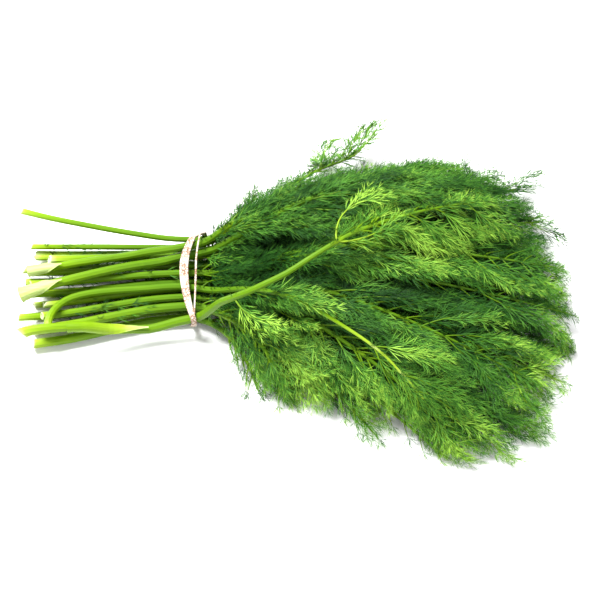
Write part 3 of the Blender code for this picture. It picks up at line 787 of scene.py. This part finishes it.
# ================================================================ leafy stems: side ribs
# Thin ribs leave a stem to both sides and sweep forward in the pile. They end at the edges of the foliage,
# which a few sprays of leaves cross. Leaves deeper in the pile are darkened with painted shade.
Rib = namedtuple("Rib", "distance length side turn rise kind")
RIB_STEP = 12 * MM
RIB_LENGTHS = (18, 44)  # millimetres, at the start of the leafy part and further on
RIB_TURNS = (14, 32)  # degrees
UPPER_TURN = 1.4  # stems on top spread their ribs wider by this
RIB_THICKNESS = (0.7 * MM, 0.22 * MM)  # at its stem and at its tip
RIB_POINTS = (4, 9)  # the fewest and the most
LOWEST_RIB = 1.2 * MM
PAINTED_DEPTH_SHADE = 0.62  # painted shade: how much darker leaves are painted at the bottom of the pile, well inside its edges
DEPTH_ROOM = 40 * MM
EDGE_SIZE = 0.34  # sprigs at the edges are this share of the size of those further in
FORK_PALENESS = 0.34
RIB_PALENESS = 0.1
# How far along x the bases of loose stems are covered with low sprays.
COVERED_TO = {FRONT_STEM: 52 * MM, BACK_STEM: 56 * MM}
FRONT_STEM_LEAFY_FROM = 126 * MM
# The tall spray at the back: (millimetres before the stem's tip, length, side, turn in degrees, rise).
TALL_SPRAY = (
    (50, 30, 1, 42, 0.5), (47, 36, 1, 62, 0.7), (45, 30, 1, 84, 0.6), (38, 30, 1, 34, 0.7),
    (24, 22, 1, 22, 1.2), (20, 22, -1, 30, 1.2), (12, 20, -1, 10, 1.2),
)
TALL_SPRAY_FROM = 56 * MM
# Sprays that stick out past the edges: where they leave a stem in plan, their heading and their length.
OUTER_SPRAYS = (
    (222, -34, -4, 24), (159, 68, 84, 17), (174, 66, 18, 24), (208, 34, -40, 24), (204, 22, -24, 22),
    (142, -92, -66, 34), (158, -98, -84, 28), (168, -98, -62, 34), (196, -92, -40, 18),
    (98, -80, -52, 13), (78, -76, -40, 16), (28, -32, -66, 26), (34, -40, -80, 18), (40, 36, 74, 16),
    (54, 46, 60, 18), (132, 70, 70, 16), (188, 60, 40, 20),
)
STRAY_SHARE = 0.65
STRAYS_FROM = -26 * MM  # none cling to the stems in front of this


def main_ribs(stem):
    """The ribs that the stem's solid has too. The top stem starts with a bare fork."""
    if stem.name != TOP_STEM:
        return [Rib(*rib, 0.0, "within") for rib in stem.main_ribs]
    ribs = [Rib(*rib, -0.2, "within") for rib in stem.main_ribs[2:]]
    fork = stem.main_ribs[0][0]
    return [
        Rib(fork, 34 * MM, -1, math.radians(40), 0.06, "bare at first"),
        Rib(fork, 36 * MM, 1, math.radians(74), 0.06, "bare at first"),
        *ribs,
    ]


def ribs_between(stem, draw):
    """More ribs all along the leafy part, shorter at its start and towards the tip."""
    start = stem.bare_to + 2 * MM if stem.loose else stem.band + 6 * MM
    ribs = []
    for distance in spaced(start, stem.length - 8 * MM, RIB_STEP):
        share = (distance - stem.band) / (stem.length - stem.band)
        length = between(*RIB_LENGTHS, smooth(share / 0.3))
        length *= between(1, 0.6, smooth((share - 0.5) / 0.5))
        for side in (-1, 1):
            place = distance + draw.uniform(-0.25, 0.25) * RIB_STEP
            turn = math.radians(draw.uniform(*RIB_TURNS)) * between(1, 1.5, smooth((share - 0.5) / 0.4))
            turn *= UPPER_TURN if stem.upper else 1.0
            rise = draw.uniform(-0.32, -0.12) if stem.name == TOP_STEM else draw.uniform(-0.15, 0.16)
            ribs.append(Rib(place, length * MM * draw.uniform(0.75, 1.15), side, turn, rise, "within"))
    if stem.name == FRONT_STEM:
        ribs = [rib for rib in ribs if stem.at(rib.distance)[0].x > FRONT_STEM_LEAFY_FROM]
    return ribs


def low_sprays(stem, draw):
    """Short ribs that cover a stem just past the band. The top stem is bare there."""
    if stem.name == TOP_STEM:
        return []
    if stem.loose:
        covered_to = COVERED_TO.get(stem.name, math.inf)
        places = spaced(stem.band + 8 * MM, stem.length - 14 * MM, 7 * MM)
        places = [distance for distance in places if stem.at(distance)[0].x < covered_to]
        turns, lengths, rises = (0, 14), (22, 34), (0.04, 0.16)
    else:
        places = spaced(stem.band + 6 * MM, stem.band + 60 * MM, 6 * MM)
        turns, lengths, rises = (4, 40), (14, 24), (0.08, 0.24)
    ribs = []
    for distance in places:
        side = draw.choice((-1, 1))
        turn = math.radians(draw.uniform(*turns))
        length = draw.uniform(*lengths) * MM
        ribs.append(Rib(distance, length, side, turn, draw.uniform(*rises), "within"))
    return ribs


def outer_sprays(stem):
    """The sprays past the edges for which this stem is the nearest."""
    ribs = []
    for x, y, heading, length in OUTER_SPRAYS:
        start = Vector((x * MM, y * MM))
        if min(stems, key=lambda other: nearest_on(other.curve, start)) is stem:
            distance = float(stem.distances[nearest_on(stem.curve, start)[1]])
            along = stem.at(distance)[1]
            turn = math.radians(heading) - math.atan2(along.y, along.x)
            ribs.append(Rib(distance, length * MM, 1, turn, 0.1, "beyond"))
    return ribs


def rib_plan(stem):
    """All of a stem's side ribs."""
    draw = random.Random(f"ribs of {stem.name}")
    plan = main_ribs(stem) + ribs_between(stem, draw) + low_sprays(stem, draw)
    if stem.name == BACK_STEM:
        plan = [rib for rib in plan if rib.distance < stem.length - TALL_SPRAY_FROM]
        for before_tip, length, side, turn, rise in TALL_SPRAY:
            place = stem.length - before_tip * MM
            plan.append(Rib(place, length * MM, side, math.radians(turn), rise, "beyond"))
    return plan + outer_sprays(stem)


def rib_line(stem, rib):
    """Points of a rib that sweeps forward from its stem and drifts up or down in the pile."""
    start, along = stem.at(rib.distance)
    level = start.z / pile_height(start.x, start.y)
    heading = math.atan2(along.y, along.x)
    turn_at_tip = -0.2 if rib.kind == "bare at first" else 0.3  # as a share of the turn at its stem
    least, most = RIB_POINTS
    points, place = [start], start.copy()
    for step in range(1, most):
        angle = heading + rib.side * rib.turn * between(1, turn_at_tip, step / (most - 1))
        place = place + rib.length / (most - 1) * Vector((math.cos(angle), math.sin(angle), 0))
        if step >= least and rib.kind != "beyond" and room_aside(*place) < EDGE_MARGIN:
            break
        lying = (level + rib.rise * step / (most - 1)) * pile_height(place.x, place.y)
        if stem.name != FRONT_STEM:
            lying = min(lying, parting(place))
        lying = max(lying, LOWEST_RIB)
        points.append(Vector((place.x, place.y, start.z + smooth(step / 3) * (lying - start.z))))
    return points


def stray_leaves(stem):
    """Small leaves that cling to some stems short of the band, as lines along them."""
    draw = random.Random(f"strays of {stem.name}")
    lines = []
    for distance in spaced(24 * MM, stem.band - 12 * MM, 26 * MM):
        if draw.random() < STRAY_SHARE and stem.at(distance)[0].y > STRAYS_FROM:
            offset = draw.uniform(-1.6, 1.6) * stem.radius
            line = []
            for step in range(-2, 3):
                point, along = stem.at(distance + step * draw.uniform(5, 7) * MM)
                aside = UP.cross(along).normalized() * (offset + draw.uniform(-1, 1) * MM)
                line.append(point + aside + (0.7 * stem.radius + draw.uniform(-1.6, 0.6) * MM) * UP)
            lines.append(line)
    return lines


def add_rib(mesh, layers, points, thick, sprig, tone, edged=True, bare=0.0):
    """A rib as a chain of edges that carries its thickness, its sprigs' size and its shade of green,
    darkened with painted shade deep in the pile.
    """
    last = None
    for i, point in enumerate(points):
        share = i / (len(points) - 1)
        room = room_aside(*point)
        near_edge = max(smooth((room + 3 * MM) / (16 * MM)), EDGE_SIZE) if edged else 1.0
        leafy = smooth((share - bare) * 8)
        # painted shade: leaves low in the pile, well inside its edges, are darkened where shade would fall
        depth = max(0.9 - point.z / pile_height(point.x, point.y), 0) if point.x > 0 else 0
        painted_shade_share = depth * smooth(room / DEPTH_ROOM)
        vertex = mesh.verts.new(point)
        vertex[layers.thick] = between(*thick, share)
        vertex[layers.sprig] = sprig * between(1, 0.5, smooth(share * 1.1 - 0.1)) * leafy * near_edge
        vertex[layers.pale] = FORK_PALENESS if bare else RIB_PALENESS
        vertex[layers.tone] = tone + patch_of_shade(point) - PAINTED_DEPTH_SHADE * painted_shade_share
        if last is not None:
            mesh.edges.new((last, vertex))
        last = vertex


# ================================================================ leafy stems: sprigs and threads
# Every rib carries pairs of fine ribs, the sprigs, that bow forward. Every sprig carries nodes of threads,
# smaller towards its tip. On the tall spray at the back they are shorter and stand more openly.
SIZES = {
    "Sprig spacing": 6.5 * MM,
    "Sprig length": 27 * MM,
    "Sprig lean": 0.42,
    "Sprig roll": 0.5,
    "Node spacing": 5.1 * MM,
    "Node roll": 0.5,
    "Node size": 1.0,
    "Shade range": 0.2,
}
OPEN_SIZES = {
    "Sprig spacing": 6.5 * MM,
    "Sprig length": 14 * MM,
    "Sprig roll": 0.2,
    "Node spacing": 5 * MM,
    "Node roll": 0.3,
    "Node size": 1.15,
}
SPRIG_BOW = ((0, 0, 0), (0.5, 0.0, 0.0), (0.94, -0.34, 0.0))  # start, middle and end of a sprig 1 long
SPRIG_POINTS = 6
RIB_SIDES = 4


def new_foliage_tree():
    """A geometry tree with an input for each size, and its input and output sockets."""
    tree = bpy.data.node_groups.new("foliage", "GeometryNodeTree")
    face = tree.interface
    face.new_socket("Geometry", in_out="INPUT", socket_type="NodeSocketGeometry")
    face.new_socket("Node shapes", in_out="INPUT", socket_type="NodeSocketCollection")
    for name, value in SIZES.items():
        face.new_socket(name, in_out="INPUT", socket_type="NodeSocketFloat").default_value = value
    for name, value in (("Sprigs at a place", 2), ("Seed", 1)):
        face.new_socket(name, in_out="INPUT", socket_type="NodeSocketInt").default_value = value
    for name in ("Leaf", "Stalk"):
        face.new_socket(name, in_out="INPUT", socket_type="NodeSocketMaterial")
    face.new_socket("Geometry", in_out="OUTPUT", socket_type="NodeSocketGeometry")
    return tree, tree.nodes.new("NodeGroupInput").outputs, tree.nodes.new("NodeGroupOutput").inputs


def foliage_tree():
    """Geometry nodes that turn loose edges into leafy ribs, and leave the stalk as it is."""
    tree, given, result = new_foliage_tree()
    nodes, links = tree.nodes, tree.links

    def shown(sockets, name):
        return [socket for socket in sockets if socket.name == name and socket.enabled][0]

    def node(kind, inputs=(), **settings):
        made = nodes.new(kind)
        for name, value in settings.items():
            setattr(made, name, value)
        for name, value in dict(inputs).items():
            socket = made.inputs[name] if isinstance(name, int) else shown(made.inputs, name)
            if isinstance(value, bpy.types.NodeSocket):
                links.new(value, socket)
            else:
                socket.default_value = value
        return made

    def calculated(operation, *values):
        return node("ShaderNodeMath", dict(enumerate(values)), operation=operation).outputs[0]

    def attribute(name, data_type="FLOAT"):
        return node("GeometryNodeInputNamedAttribute", {"Name": name}, data_type=data_type).outputs[0]

    def stored(geometry, name, value, data_type="FLOAT", domain="POINT"):
        inputs = {"Geometry": geometry, "Name": name, "Value": value}
        made = node("GeometryNodeStoreNamedAttribute", inputs, data_type=data_type, domain=domain)
        return made.outputs[0]

    def drawn(low, high, offset, data_type="FLOAT"):
        """A random number of its own for each element."""
        seed = node("FunctionNodeIntegerMath", {0: given["Seed"], 1: offset}, operation="ADD")
        limits = {"Min": low, "Max": high, "Seed": seed.outputs[0]}
        return shown(node("FunctionNodeRandomValue", limits, data_type=data_type).outputs, "Value")

    def wavering(size, offset):
        """A random number from minus to plus a size."""
        return calculated("MULTIPLY", given[size], drawn(-1.0, 1.0, offset))

    def set_out(curve, spacing):
        """Points along curves that remember which way the curves go."""
        level = node("GeometryNodeSetCurveNormal", {"Curve": curve}, mode="Z_UP")
        inputs = {"Curve": level.outputs[0], "Length": spacing}
        places = node("GeometryNodeCurveToPoints", inputs, mode="LENGTH")
        points = stored(places.outputs["Points"], "ahead", places.outputs["Tangent"], "FLOAT_VECTOR")
        return stored(points, "aside", places.outputs["Normal"], "FLOAT_VECTOR")

    def facing(roll, lean):
        """Forward along the curve, rolled round it, and then leant from it."""
        axes = {
            "Primary Axis": attribute("ahead", "FLOAT_VECTOR"),
            "Secondary Axis": attribute("aside", "FLOAT_VECTOR"),
        }
        turn = node("FunctionNodeAxesToRotation", axes, primary_axis="X", secondary_axis="Y")
        for axis, angle in (((1, 0, 0), roll), ((0, 0, 1), lean)):
            by = node("FunctionNodeAxisAngleToRotation", {"Axis": axis, "Angle": angle})
            inputs = {"Rotation": turn.outputs[0], "Rotate By": by.outputs[0]}
            turn = node("FunctionNodeRotateRotation", inputs, rotation_space="LOCAL")
        return turn.outputs[0]

    def set_on(points, shape, rotation, scale, choice=()):
        inputs = {"Points": points, "Instance": shape, "Rotation": rotation, "Scale": scale}
        return node("GeometryNodeInstanceOnPoints", {**inputs, **dict(choice)}).outputs[0]

    def realized(geometry):
        return node("GeometryNodeRealizeInstances", {"Geometry": geometry}).outputs[0]

    # the stalk's skin, and the ribs as thin tubes
    faces = node("GeometryNodeInputMeshEdgeNeighbors").outputs["Face Count"]
    bare_edge = node("FunctionNodeCompare", {"A": faces, "B": 0}, data_type="INT", operation="EQUAL")
    chosen = {"Geometry": given["Geometry"], "Selection": bare_edge.outputs[0]}
    skin = node("GeometryNodeDeleteGeometry", chosen, domain="EDGE", mode="EDGE_FACE").outputs[0]
    ribs = node("GeometryNodeMeshToCurve", {"Mesh": given["Geometry"], "Selection": bare_edge.outputs[0]})
    ribs = ribs.outputs[0]
    outline = {"Resolution": RIB_SIDES, "Radius": 1.0}
    profile = node("GeometryNodeCurvePrimitiveCircle", outline, mode="RADIUS").outputs[0]
    inputs = {"Curve": ribs, "Profile Curve": profile, "Scale": attribute("thick"), "Fill Caps": True}
    tubes = node("GeometryNodeCurveToMesh", inputs).outputs[0]

    # pairs of sprigs along the ribs
    bow = dict(zip(("Start", "Middle", "End"), SPRIG_BOW))
    sprig = node("GeometryNodeCurveQuadraticBezier", {"Resolution": SPRIG_POINTS, **bow}).outputs[0]
    inputs = {"Geometry": set_out(ribs, given["Sprig spacing"]), "Amount": given["Sprigs at a place"]}
    pairs = node("GeometryNodeDuplicateElements", inputs, domain="POINT")
    side = calculated("MULTIPLY", pairs.outputs["Duplicate Index"], math.pi)
    wobble = wavering("Sprig roll", 1)
    lean = calculated("MULTIPLY", given["Sprig lean"], drawn(0.7, 1.3, 2))
    size = calculated("MULTIPLY", attribute("sprig"), drawn(0.75, 1.2, 3))
    length = calculated("MULTIPLY", size, given["Sprig length"])
    sprigs = set_on(pairs.outputs[0], sprig, facing(calculated("ADD", side, wobble), lean), length)
    shade = calculated("MULTIPLY_ADD", given["Shade range"], drawn(-1.0, 1.0, 4), attribute("tone"))
    sprigs = realized(stored(sprigs, "tone", shade, domain="INSTANCE"))
    sprigs = stored(sprigs, "share", node("GeometryNodeSplineParameter").outputs["Factor"])

    # nodes of threads along the sprigs
    places = set_out(sprigs, given["Node spacing"])
    inputs = {"Collection": given["Node shapes"], "Separate Children": True, "Reset Children": True}
    shapes = node("GeometryNodeCollectionInfo", inputs).outputs[0]
    smaller = calculated("MULTIPLY_ADD", attribute("share"), -0.42, 1.05)
    finer = calculated("MULTIPLY_ADD", attribute("sprig"), 0.5, 0.5)
    size = calculated("MULTIPLY", calculated("MULTIPLY", smaller, finer), given["Node size"])
    size = calculated("MULTIPLY", size, drawn(0.85, 1.15, 8))
    turn = facing(wavering("Node roll", 5), drawn(-0.12, 0.12, 7))
    choice = {"Pick Instance": True, "Instance Index": drawn(0, NODE_SHAPES - 1, 6, "INT")}
    threads = realized(set_on(places, shapes, turn, size, choice))

    whole = nodes.new("GeometryNodeJoinGeometry")
    for part, material in ((threads, "Leaf"), (tubes, "Stalk"), (skin, "Stalk")):
        finished = node("GeometryNodeSetMaterial", {"Geometry": part, "Material": given[material]})
        links.new(finished.outputs[0], whole.inputs[0])
    links.new(whole.outputs[0], result[0])
    return tree


# ================================================================ leafy stems: each one grown
# Each stem is one piece: its stalk, its ribs and all its leaves. Threads that would meet the table, or
# the reach of the whole bunch, bend to lie inside it.
Layers = namedtuple("Layers", "thick sprig tone pale")
STEM_TONES = (0.03, 0.08, 0.13)
UPPER_FROM = 16  # from this stem on, counted from the lowest, they are upper ones
# How lime the loose stems are, and how much wider at their cut ends, where the sheath of a leaf opened.
LOOSE_LOOKS = {
    TOP_STEM: (0.3, 0.3),
    "leafy_stem_26": (0.08, 0.75),
    FRONT_STEM: (0.1, 0.25),
    BACK_STEM: (0.12, 0.15),
    "leafy_stem_29": (0.04, 0.3),
}
FORK_BARE_SHARE = 0.42
STRAY_THICKNESS = (0.2 * MM, 0.12 * MM)
STRAY_SIZE = 0.34
TIP_THICKNESS = (0.5 * MM, 0.2 * MM)
TIP_SIZE = 0.9
TIP_LENGTH = 34 * MM
# How far inside the bunch's reach threads start to bend: at the least and greatest x, y, z in millimetres.
GIVES = ((0.2, 14), (14, 5), (0.2, 0.6))


def guide_mesh(stem, draw):
    """The stalk's skin, and loose edges for the ribs, which the tree grows leaves on."""
    mesh = bmesh.new()
    layers = Layers(*(mesh.verts.layers.float.new(name) for name in Layers._fields))
    add_stalk(mesh, stem, layers)
    if stem.name in SHEATHS:
        start, end = SHEATHS[stem.name]
        add_sheath(mesh, stem, start * MM, end * MM, layers)
    for rib in rib_plan(stem):
        thick = (min(0.6 * stem.radius_at(rib.distance), RIB_THICKNESS[0]), RIB_THICKNESS[1])
        tone = stem.tone + draw.uniform(-0.12, 0.12)
        bare = FORK_BARE_SHARE if rib.kind == "bare at first" else 0.0
        add_rib(mesh, layers, rib_line(stem, rib), thick, 1.0, tone, rib.kind != "beyond", bare)
    if not stem.loose:
        for line in stray_leaves(stem):
            add_rib(mesh, layers, line, STRAY_THICKNESS, STRAY_SIZE, stem.tone - 0.05, edged=False)
    tip = [stem.at(distance)[0] for distance in spaced(stem.length - TIP_LENGTH, stem.length, 5 * MM)]
    point, along = stem.at(stem.length)
    tip.append(point + 6 * MM * along)
    add_rib(mesh, layers, tip, TIP_THICKNESS, TIP_SIZE, stem.tone, edged=stem.name != BACK_STEM)
    data = bpy.data.meshes.new(f"{stem.name}_guide")
    mesh.to_mesh(data)
    mesh.free()
    return data


def grown(stem, guide, seed):
    """The guide's mesh with its leaves grown."""
    body = bpy.data.objects.new(guide.name, guide)
    bpy.context.scene.collection.objects.link(body)
    grow = body.modifiers.new("foliage", "NODES")
    grow.node_group = foliage
    inputs = {"Node shapes": node_shapes, "Seed": seed, "Leaf": leaf, "Stalk": stalk}
    if stem.name == BACK_STEM:
        inputs.update(OPEN_SIZES)
    for name, value in inputs.items():
        grow[sockets[name]] = value
    graph = bpy.context.evaluated_depsgraph_get()
    data = bpy.data.meshes.new_from_object(
        body.evaluated_get(graph), preserve_all_data_layers=True, depsgraph=graph
    )
    bpy.data.objects.remove(body)
    bpy.data.meshes.remove(guide)
    data.name = f"dill_{stem.name[-2:]}"
    return data


def settle(data):
    """Threads that would pass through the table, or beyond the bunch's reach, bend to lie inside it."""
    places = np.empty(len(data.vertices) * 3, np.float32)
    data.vertices.foreach_get("co", places)
    places = places.reshape(-1, 3)
    low, high = np.array(cad_low), np.array(cad_high)
    for axis, gives in enumerate(GIVES):
        for side, limit, give in ((-1, low[axis], gives[0] * MM), (1, high[axis], gives[1] * MM)):
            inside = side * limit - give
            past = np.maximum(side * places[:, axis] - inside, 0) / give
            soft = side * (inside + give * (1 - np.exp(-past)) * 0.98)
            places[:, axis] = np.where(past > 0, soft, places[:, axis])
    data.vertices.foreach_set("co", places.ravel())
    data.update()


foliage = foliage_tree()
sockets = {item.name: item.identifier for item in foliage.interface.items_tree if item.in_out == "INPUT"}
for number, stem in enumerate(stems):
    draw = random.Random(f"green of {stem.name}")
    tone, flare = LOOSE_LOOKS[stem.name] if stem.loose else (STEM_TONES[number % 3], None)
    stem.upper = number >= UPPER_FROM
    stem.tone = tone + draw.uniform(-0.05, 0.05)
    stem.pale = draw.uniform(0.2, 0.5)
    stem.flare = flare if stem.loose else draw.uniform(0.0, 0.22)
    data = grown(stem, guide_mesh(stem, draw), seed=10 * number)
    settle(data)
    piece = bpy.data.objects.new(data.name, data)
    bpy.context.scene.collection.objects.link(piece)
    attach(piece, "root")
    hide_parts(stem.name)
for shape in list(node_shapes.objects):
    bpy.data.objects.remove(shape)
bpy.data.collections.remove(node_shapes)


# ================================================================ rubber band
# One cream rubber band, wound round the stems so that a wide strand, a narrower one and a thin one show.
# It is old: fine brown cracks run across it. It hugs the stems and holds the bunch together.
Strand = namedtuple("Strand", "name width thickness front top back")
# Sizes, and how far along the stems each strand passes at the front, over the top and at the back, in
# millimetres. Under the middle of the stems it passes at 0.
BAND_STRANDS = (
    Strand("rubber_band", 3.2, 1.2, 3.4, -4.2, 9.3),
    Strand("second_strand", 1.7, 1.0, 3.7, -1.7, 9.7),
    Strand("thin_strand", 1.1, 0.9, 3.0, 3.7, 9.0),
)
BAND_OFFSET = CLEARANCE + 0.6 * MM  # from the stems to the middle of every strand
BAND_SIDES = (-33 * MM, 31 * MM)  # where its front and back sides are
BAND_REACH = 3 * MM  # how far along the stems it feels their shape, to each side
STRAND_STEP = 1.2 * MM
STRAND_SIDES = 12
BUNDLE_CENTRE = 15 * MM  # height of the bundle's middle
SWELL = 0.07  # how unevenly wide a strand is
WIDEST_AT, WIDEST_HALF, WIDENING = -6 * MM, 22 * MM, 0.25  # of the wide strand, across the top
STAIN_AT, STAIN_HALF = 20 * MM, 0.7 * MM
RUBBER_COLOURS = ((0.0, (0.5, 0.44, 0.38)), (0.5, (0.3, 0.17, 0.09)), (1.0, (0.12, 0.05, 0.02)))


def stem_across(stem, x):
    """Centre of a stem where it crosses a plane across the bunch."""
    rings = [stem.at(distance)[0] for distance in stem.bare_rings]
    for a, b in zip(rings, rings[1:]):
        if a.x <= x < b.x:
            return a.lerp(b, (x - a.x) / (b.x - a.x))
    return rings[-1]


def strand_x(strand, y, z):
    """Where a strand passes along the stems, at a place round the bundle."""
    side, reach = (strand.back, BAND_SIDES[1]) if y > 0 else (strand.front, BAND_SIDES[0])
    middle = between(0, strand.top, smooth((z - 3 * MM) / (9 * MM)))
    return between(middle, side, min(y / reach, 1) ** 2) * MM


def round_the_stems(strand):
    """The way of a strand pulled tight round the stems, as closely set points."""
    places = []
    for stem in stems:
        middle = stem_across(stem, BAND_REACH)
        for i in range(16):
            angle = math.pi * i / 8
            out = stem.radius * Vector((0, math.cos(angle), math.sin(angle)))
            x = strand_x(strand, middle.y + out.y, middle.z + out.z)
            for aside in (-BAND_REACH, 0, BAND_REACH):
                place = stem_across(stem, x + aside) + out
                places.append((place.y, place.z))
    corners = []
    for i in convex_hull_2d(places):
        corner = Vector((0, *places[i]))
        if not corners or (corner - corners[-1]).length > STRAND_STEP:
            corners.append(corner)
    if (corners[0] - corners[-1]).length < STRAND_STEP:
        corners.pop()
    way = []
    for corner, following in zip(corners, corners[1:] + corners[:1]):
        steps = max(1, round((following - corner).length / STRAND_STEP))
        for step in range(steps):
            point = corner.lerp(following, step / steps)
            way.append(Vector((strand_x(strand, point.y, point.z), point.y, point.z)))
    return way


def add_strand(mesh, strand, mark_layer):
    """A strand as a rounded strip, closed on itself. The wide one has a brown stain towards the back."""
    draw = random.Random(strand.name)
    way = round_the_stems(strand)
    wide = strand.name == "rubber_band"
    count = len(way)
    swells = [draw.uniform(0, 2 * math.pi) for _ in range(3)]
    rings = []
    for i, place in enumerate(way):
        along = (way[(i + 2) % count] - way[i - 2]).normalized()
        out = Vector((1, 0, 0)).cross(along)
        out = Vector((0, out.y, out.z)).normalized()
        if out.dot(Vector((0, place.y, place.z - BUNDLE_CENTRE))) < 0:
            out = -out
        across = along.cross(out).normalized()
        swell = sum(math.sin((k + 2) * 2 * math.pi * i / count + swells[k]) for k in range(3))
        half = strand.width * MM / 2 * (1 + SWELL * swell)
        if wide and place.z > 10 * MM:
            half *= 1 + WIDENING * max(0.0, 1 - abs(place.y - WIDEST_AT) / WIDEST_HALF)
        middle = place + BAND_OFFSET * out
        stained = wide and place.z > BUNDLE_CENTRE and abs(place.y - STAIN_AT) < STAIN_HALF
        corners = []
        for j in range(STRAND_SIDES):
            angle = 2 * math.pi * j / STRAND_SIDES
            flat = [math.copysign(abs(v) ** 0.55, v) for v in (math.cos(angle), math.sin(angle))]
            corner = middle + half * flat[0] * across + strand.thickness * MM / 2 * flat[1] * out
            corners.append(mesh.verts.new(corner))
            corners[-1][mark_layer] = 1.0 if stained else 0.0
        rings.append(corners)
    for i, strip in enumerate(rings):
        ahead = rings[(i + 1) % count]
        for j in range(STRAND_SIDES):
            k = (j + 1) % STRAND_SIDES
            mesh.faces.new((strip[j], ahead[j], ahead[k], strip[k]))


def rubber_finish():
    """Cream rubber with fine brown cracks in worn patches, and a brown stain where it is marked."""
    finish = Finish("rubber", 0.6)
    nodes, links = finish.nodes, finish.links
    place = finish.place()
    cells = nodes.new("ShaderNodeTexVoronoi")
    cells.feature = "DISTANCE_TO_EDGE"
    cells.inputs["Scale"].default_value = 620
    links.new(place, cells.inputs["Vector"])

    def fitted(value, near, far, at_near, at_far):
        node = nodes.new("ShaderNodeMapRange")
        limits = {"From Min": near, "From Max": far, "To Min": at_near, "To Max": at_far}
        for name, limit in limits.items():
            node.inputs[name].default_value = limit
        links.new(value, node.inputs["Value"])
        return node.outputs["Result"]

    crack = fitted(cells.outputs["Distance"], 0.03, 0.2, 0.9, 0)
    worn = fitted(finish.noise(place, scale=160, detail=3), 0.4, 0.55, 0, 1)
    cracked = nodes.new("ShaderNodeMath")
    cracked.operation = "MULTIPLY"
    links.new(crack, cracked.inputs[0])
    links.new(worn, cracked.inputs[1])
    brown = finish.plus(cracked.outputs[0], 0.8, finish.attribute("mark"))
    finish.colour_by(brown, RUBBER_COLOURS)
    return finish.material


mesh = bmesh.new()
mark_layer = mesh.verts.layers.float.new("mark")
for strand in BAND_STRANDS:
    add_strand(mesh, strand, mark_layer)
bmesh.ops.recalc_face_normals(mesh, faces=mesh.faces)
for face in mesh.faces:
    face.smooth = True
data = bpy.data.meshes.new("wound_band")
mesh.to_mesh(data)
mesh.free()
data.materials.append(rubber_finish())
piece = bpy.data.objects.new("wound_band", data)
bpy.context.scene.collection.objects.link(piece)
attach(piece, "root")
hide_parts("rubber_band")


# ================================================================ table, light and camera
# A plain white table under soft light from the upper left, with a weak fill from the front. The camera
# looks down at the bunch from the front, 60 degrees above the table, through a long lens.
TABLE_HALF = 3
TABLE_WHITE = (0.9, 0.9, 0.9, 1)
LIGHT_AIM = Vector((0.06, 0, 0))
DAYLIGHT = 0.66
SENSOR_WIDTH = 36
SEEN_WIDTH = 0.36
VIEW_ELEVATION = math.radians(60)
VIEW_DISTANCE = 1.3
VIEW_MIDDLE = Vector((0.066, -0.0159, 0.0175))

ground = bpy.data.meshes.new("table")
corners = [(x * TABLE_HALF, y * TABLE_HALF, 0) for x, y in ((-1, -1), (1, -1), (1, 1), (-1, 1))]
ground.from_pydata(corners, [], [(0, 1, 2, 3)])
white = Finish("table_white", 0.9)
white.surface.inputs["Base Color"].default_value = TABLE_WHITE
ground.materials.append(white.material)
table = bpy.data.objects.new("table", ground)
bpy.context.scene.collection.objects.link(table)

world = bpy.data.worlds.new("studio")
bpy.context.scene.world = world
world.use_nodes = True
world.node_tree.nodes["Background"].inputs["Color"].default_value = (1, 1, 1, 1)
world.node_tree.nodes["Background"].inputs["Strength"].default_value = DAYLIGHT


def area_light(name, place, size, watts):
    light = bpy.data.lights.new(name, "AREA")
    light.energy = watts
    light.size = size
    lamp = bpy.data.objects.new(name, light)
    lamp.location = place
    lamp.rotation_euler = (LIGHT_AIM - Vector(place)).to_track_quat("-Z", "Y").to_euler()
    bpy.context.scene.collection.objects.link(lamp)


area_light("key", (-0.4, 0.3, 1.2), 0.5, 50)
area_light("fill", (0.9, -0.9, 1.0), 1.2, 8)

camera = bpy.data.cameras.new("camera")
camera.sensor_width = SENSOR_WIDTH
camera.lens = SENSOR_WIDTH * VIEW_DISTANCE / SEEN_WIDTH
eye = bpy.data.objects.new("camera", camera)
bpy.context.scene.collection.objects.link(eye)
back = Vector((0, -math.cos(VIEW_ELEVATION), math.sin(VIEW_ELEVATION)))
eye.location = VIEW_MIDDLE + VIEW_DISTANCE * back
eye.rotation_euler = (-back).to_track_quat("-Z", "Y").to_euler()
bpy.context.scene.camera = eye
bpy.context.scene.view_settings.view_transform = "Standard"
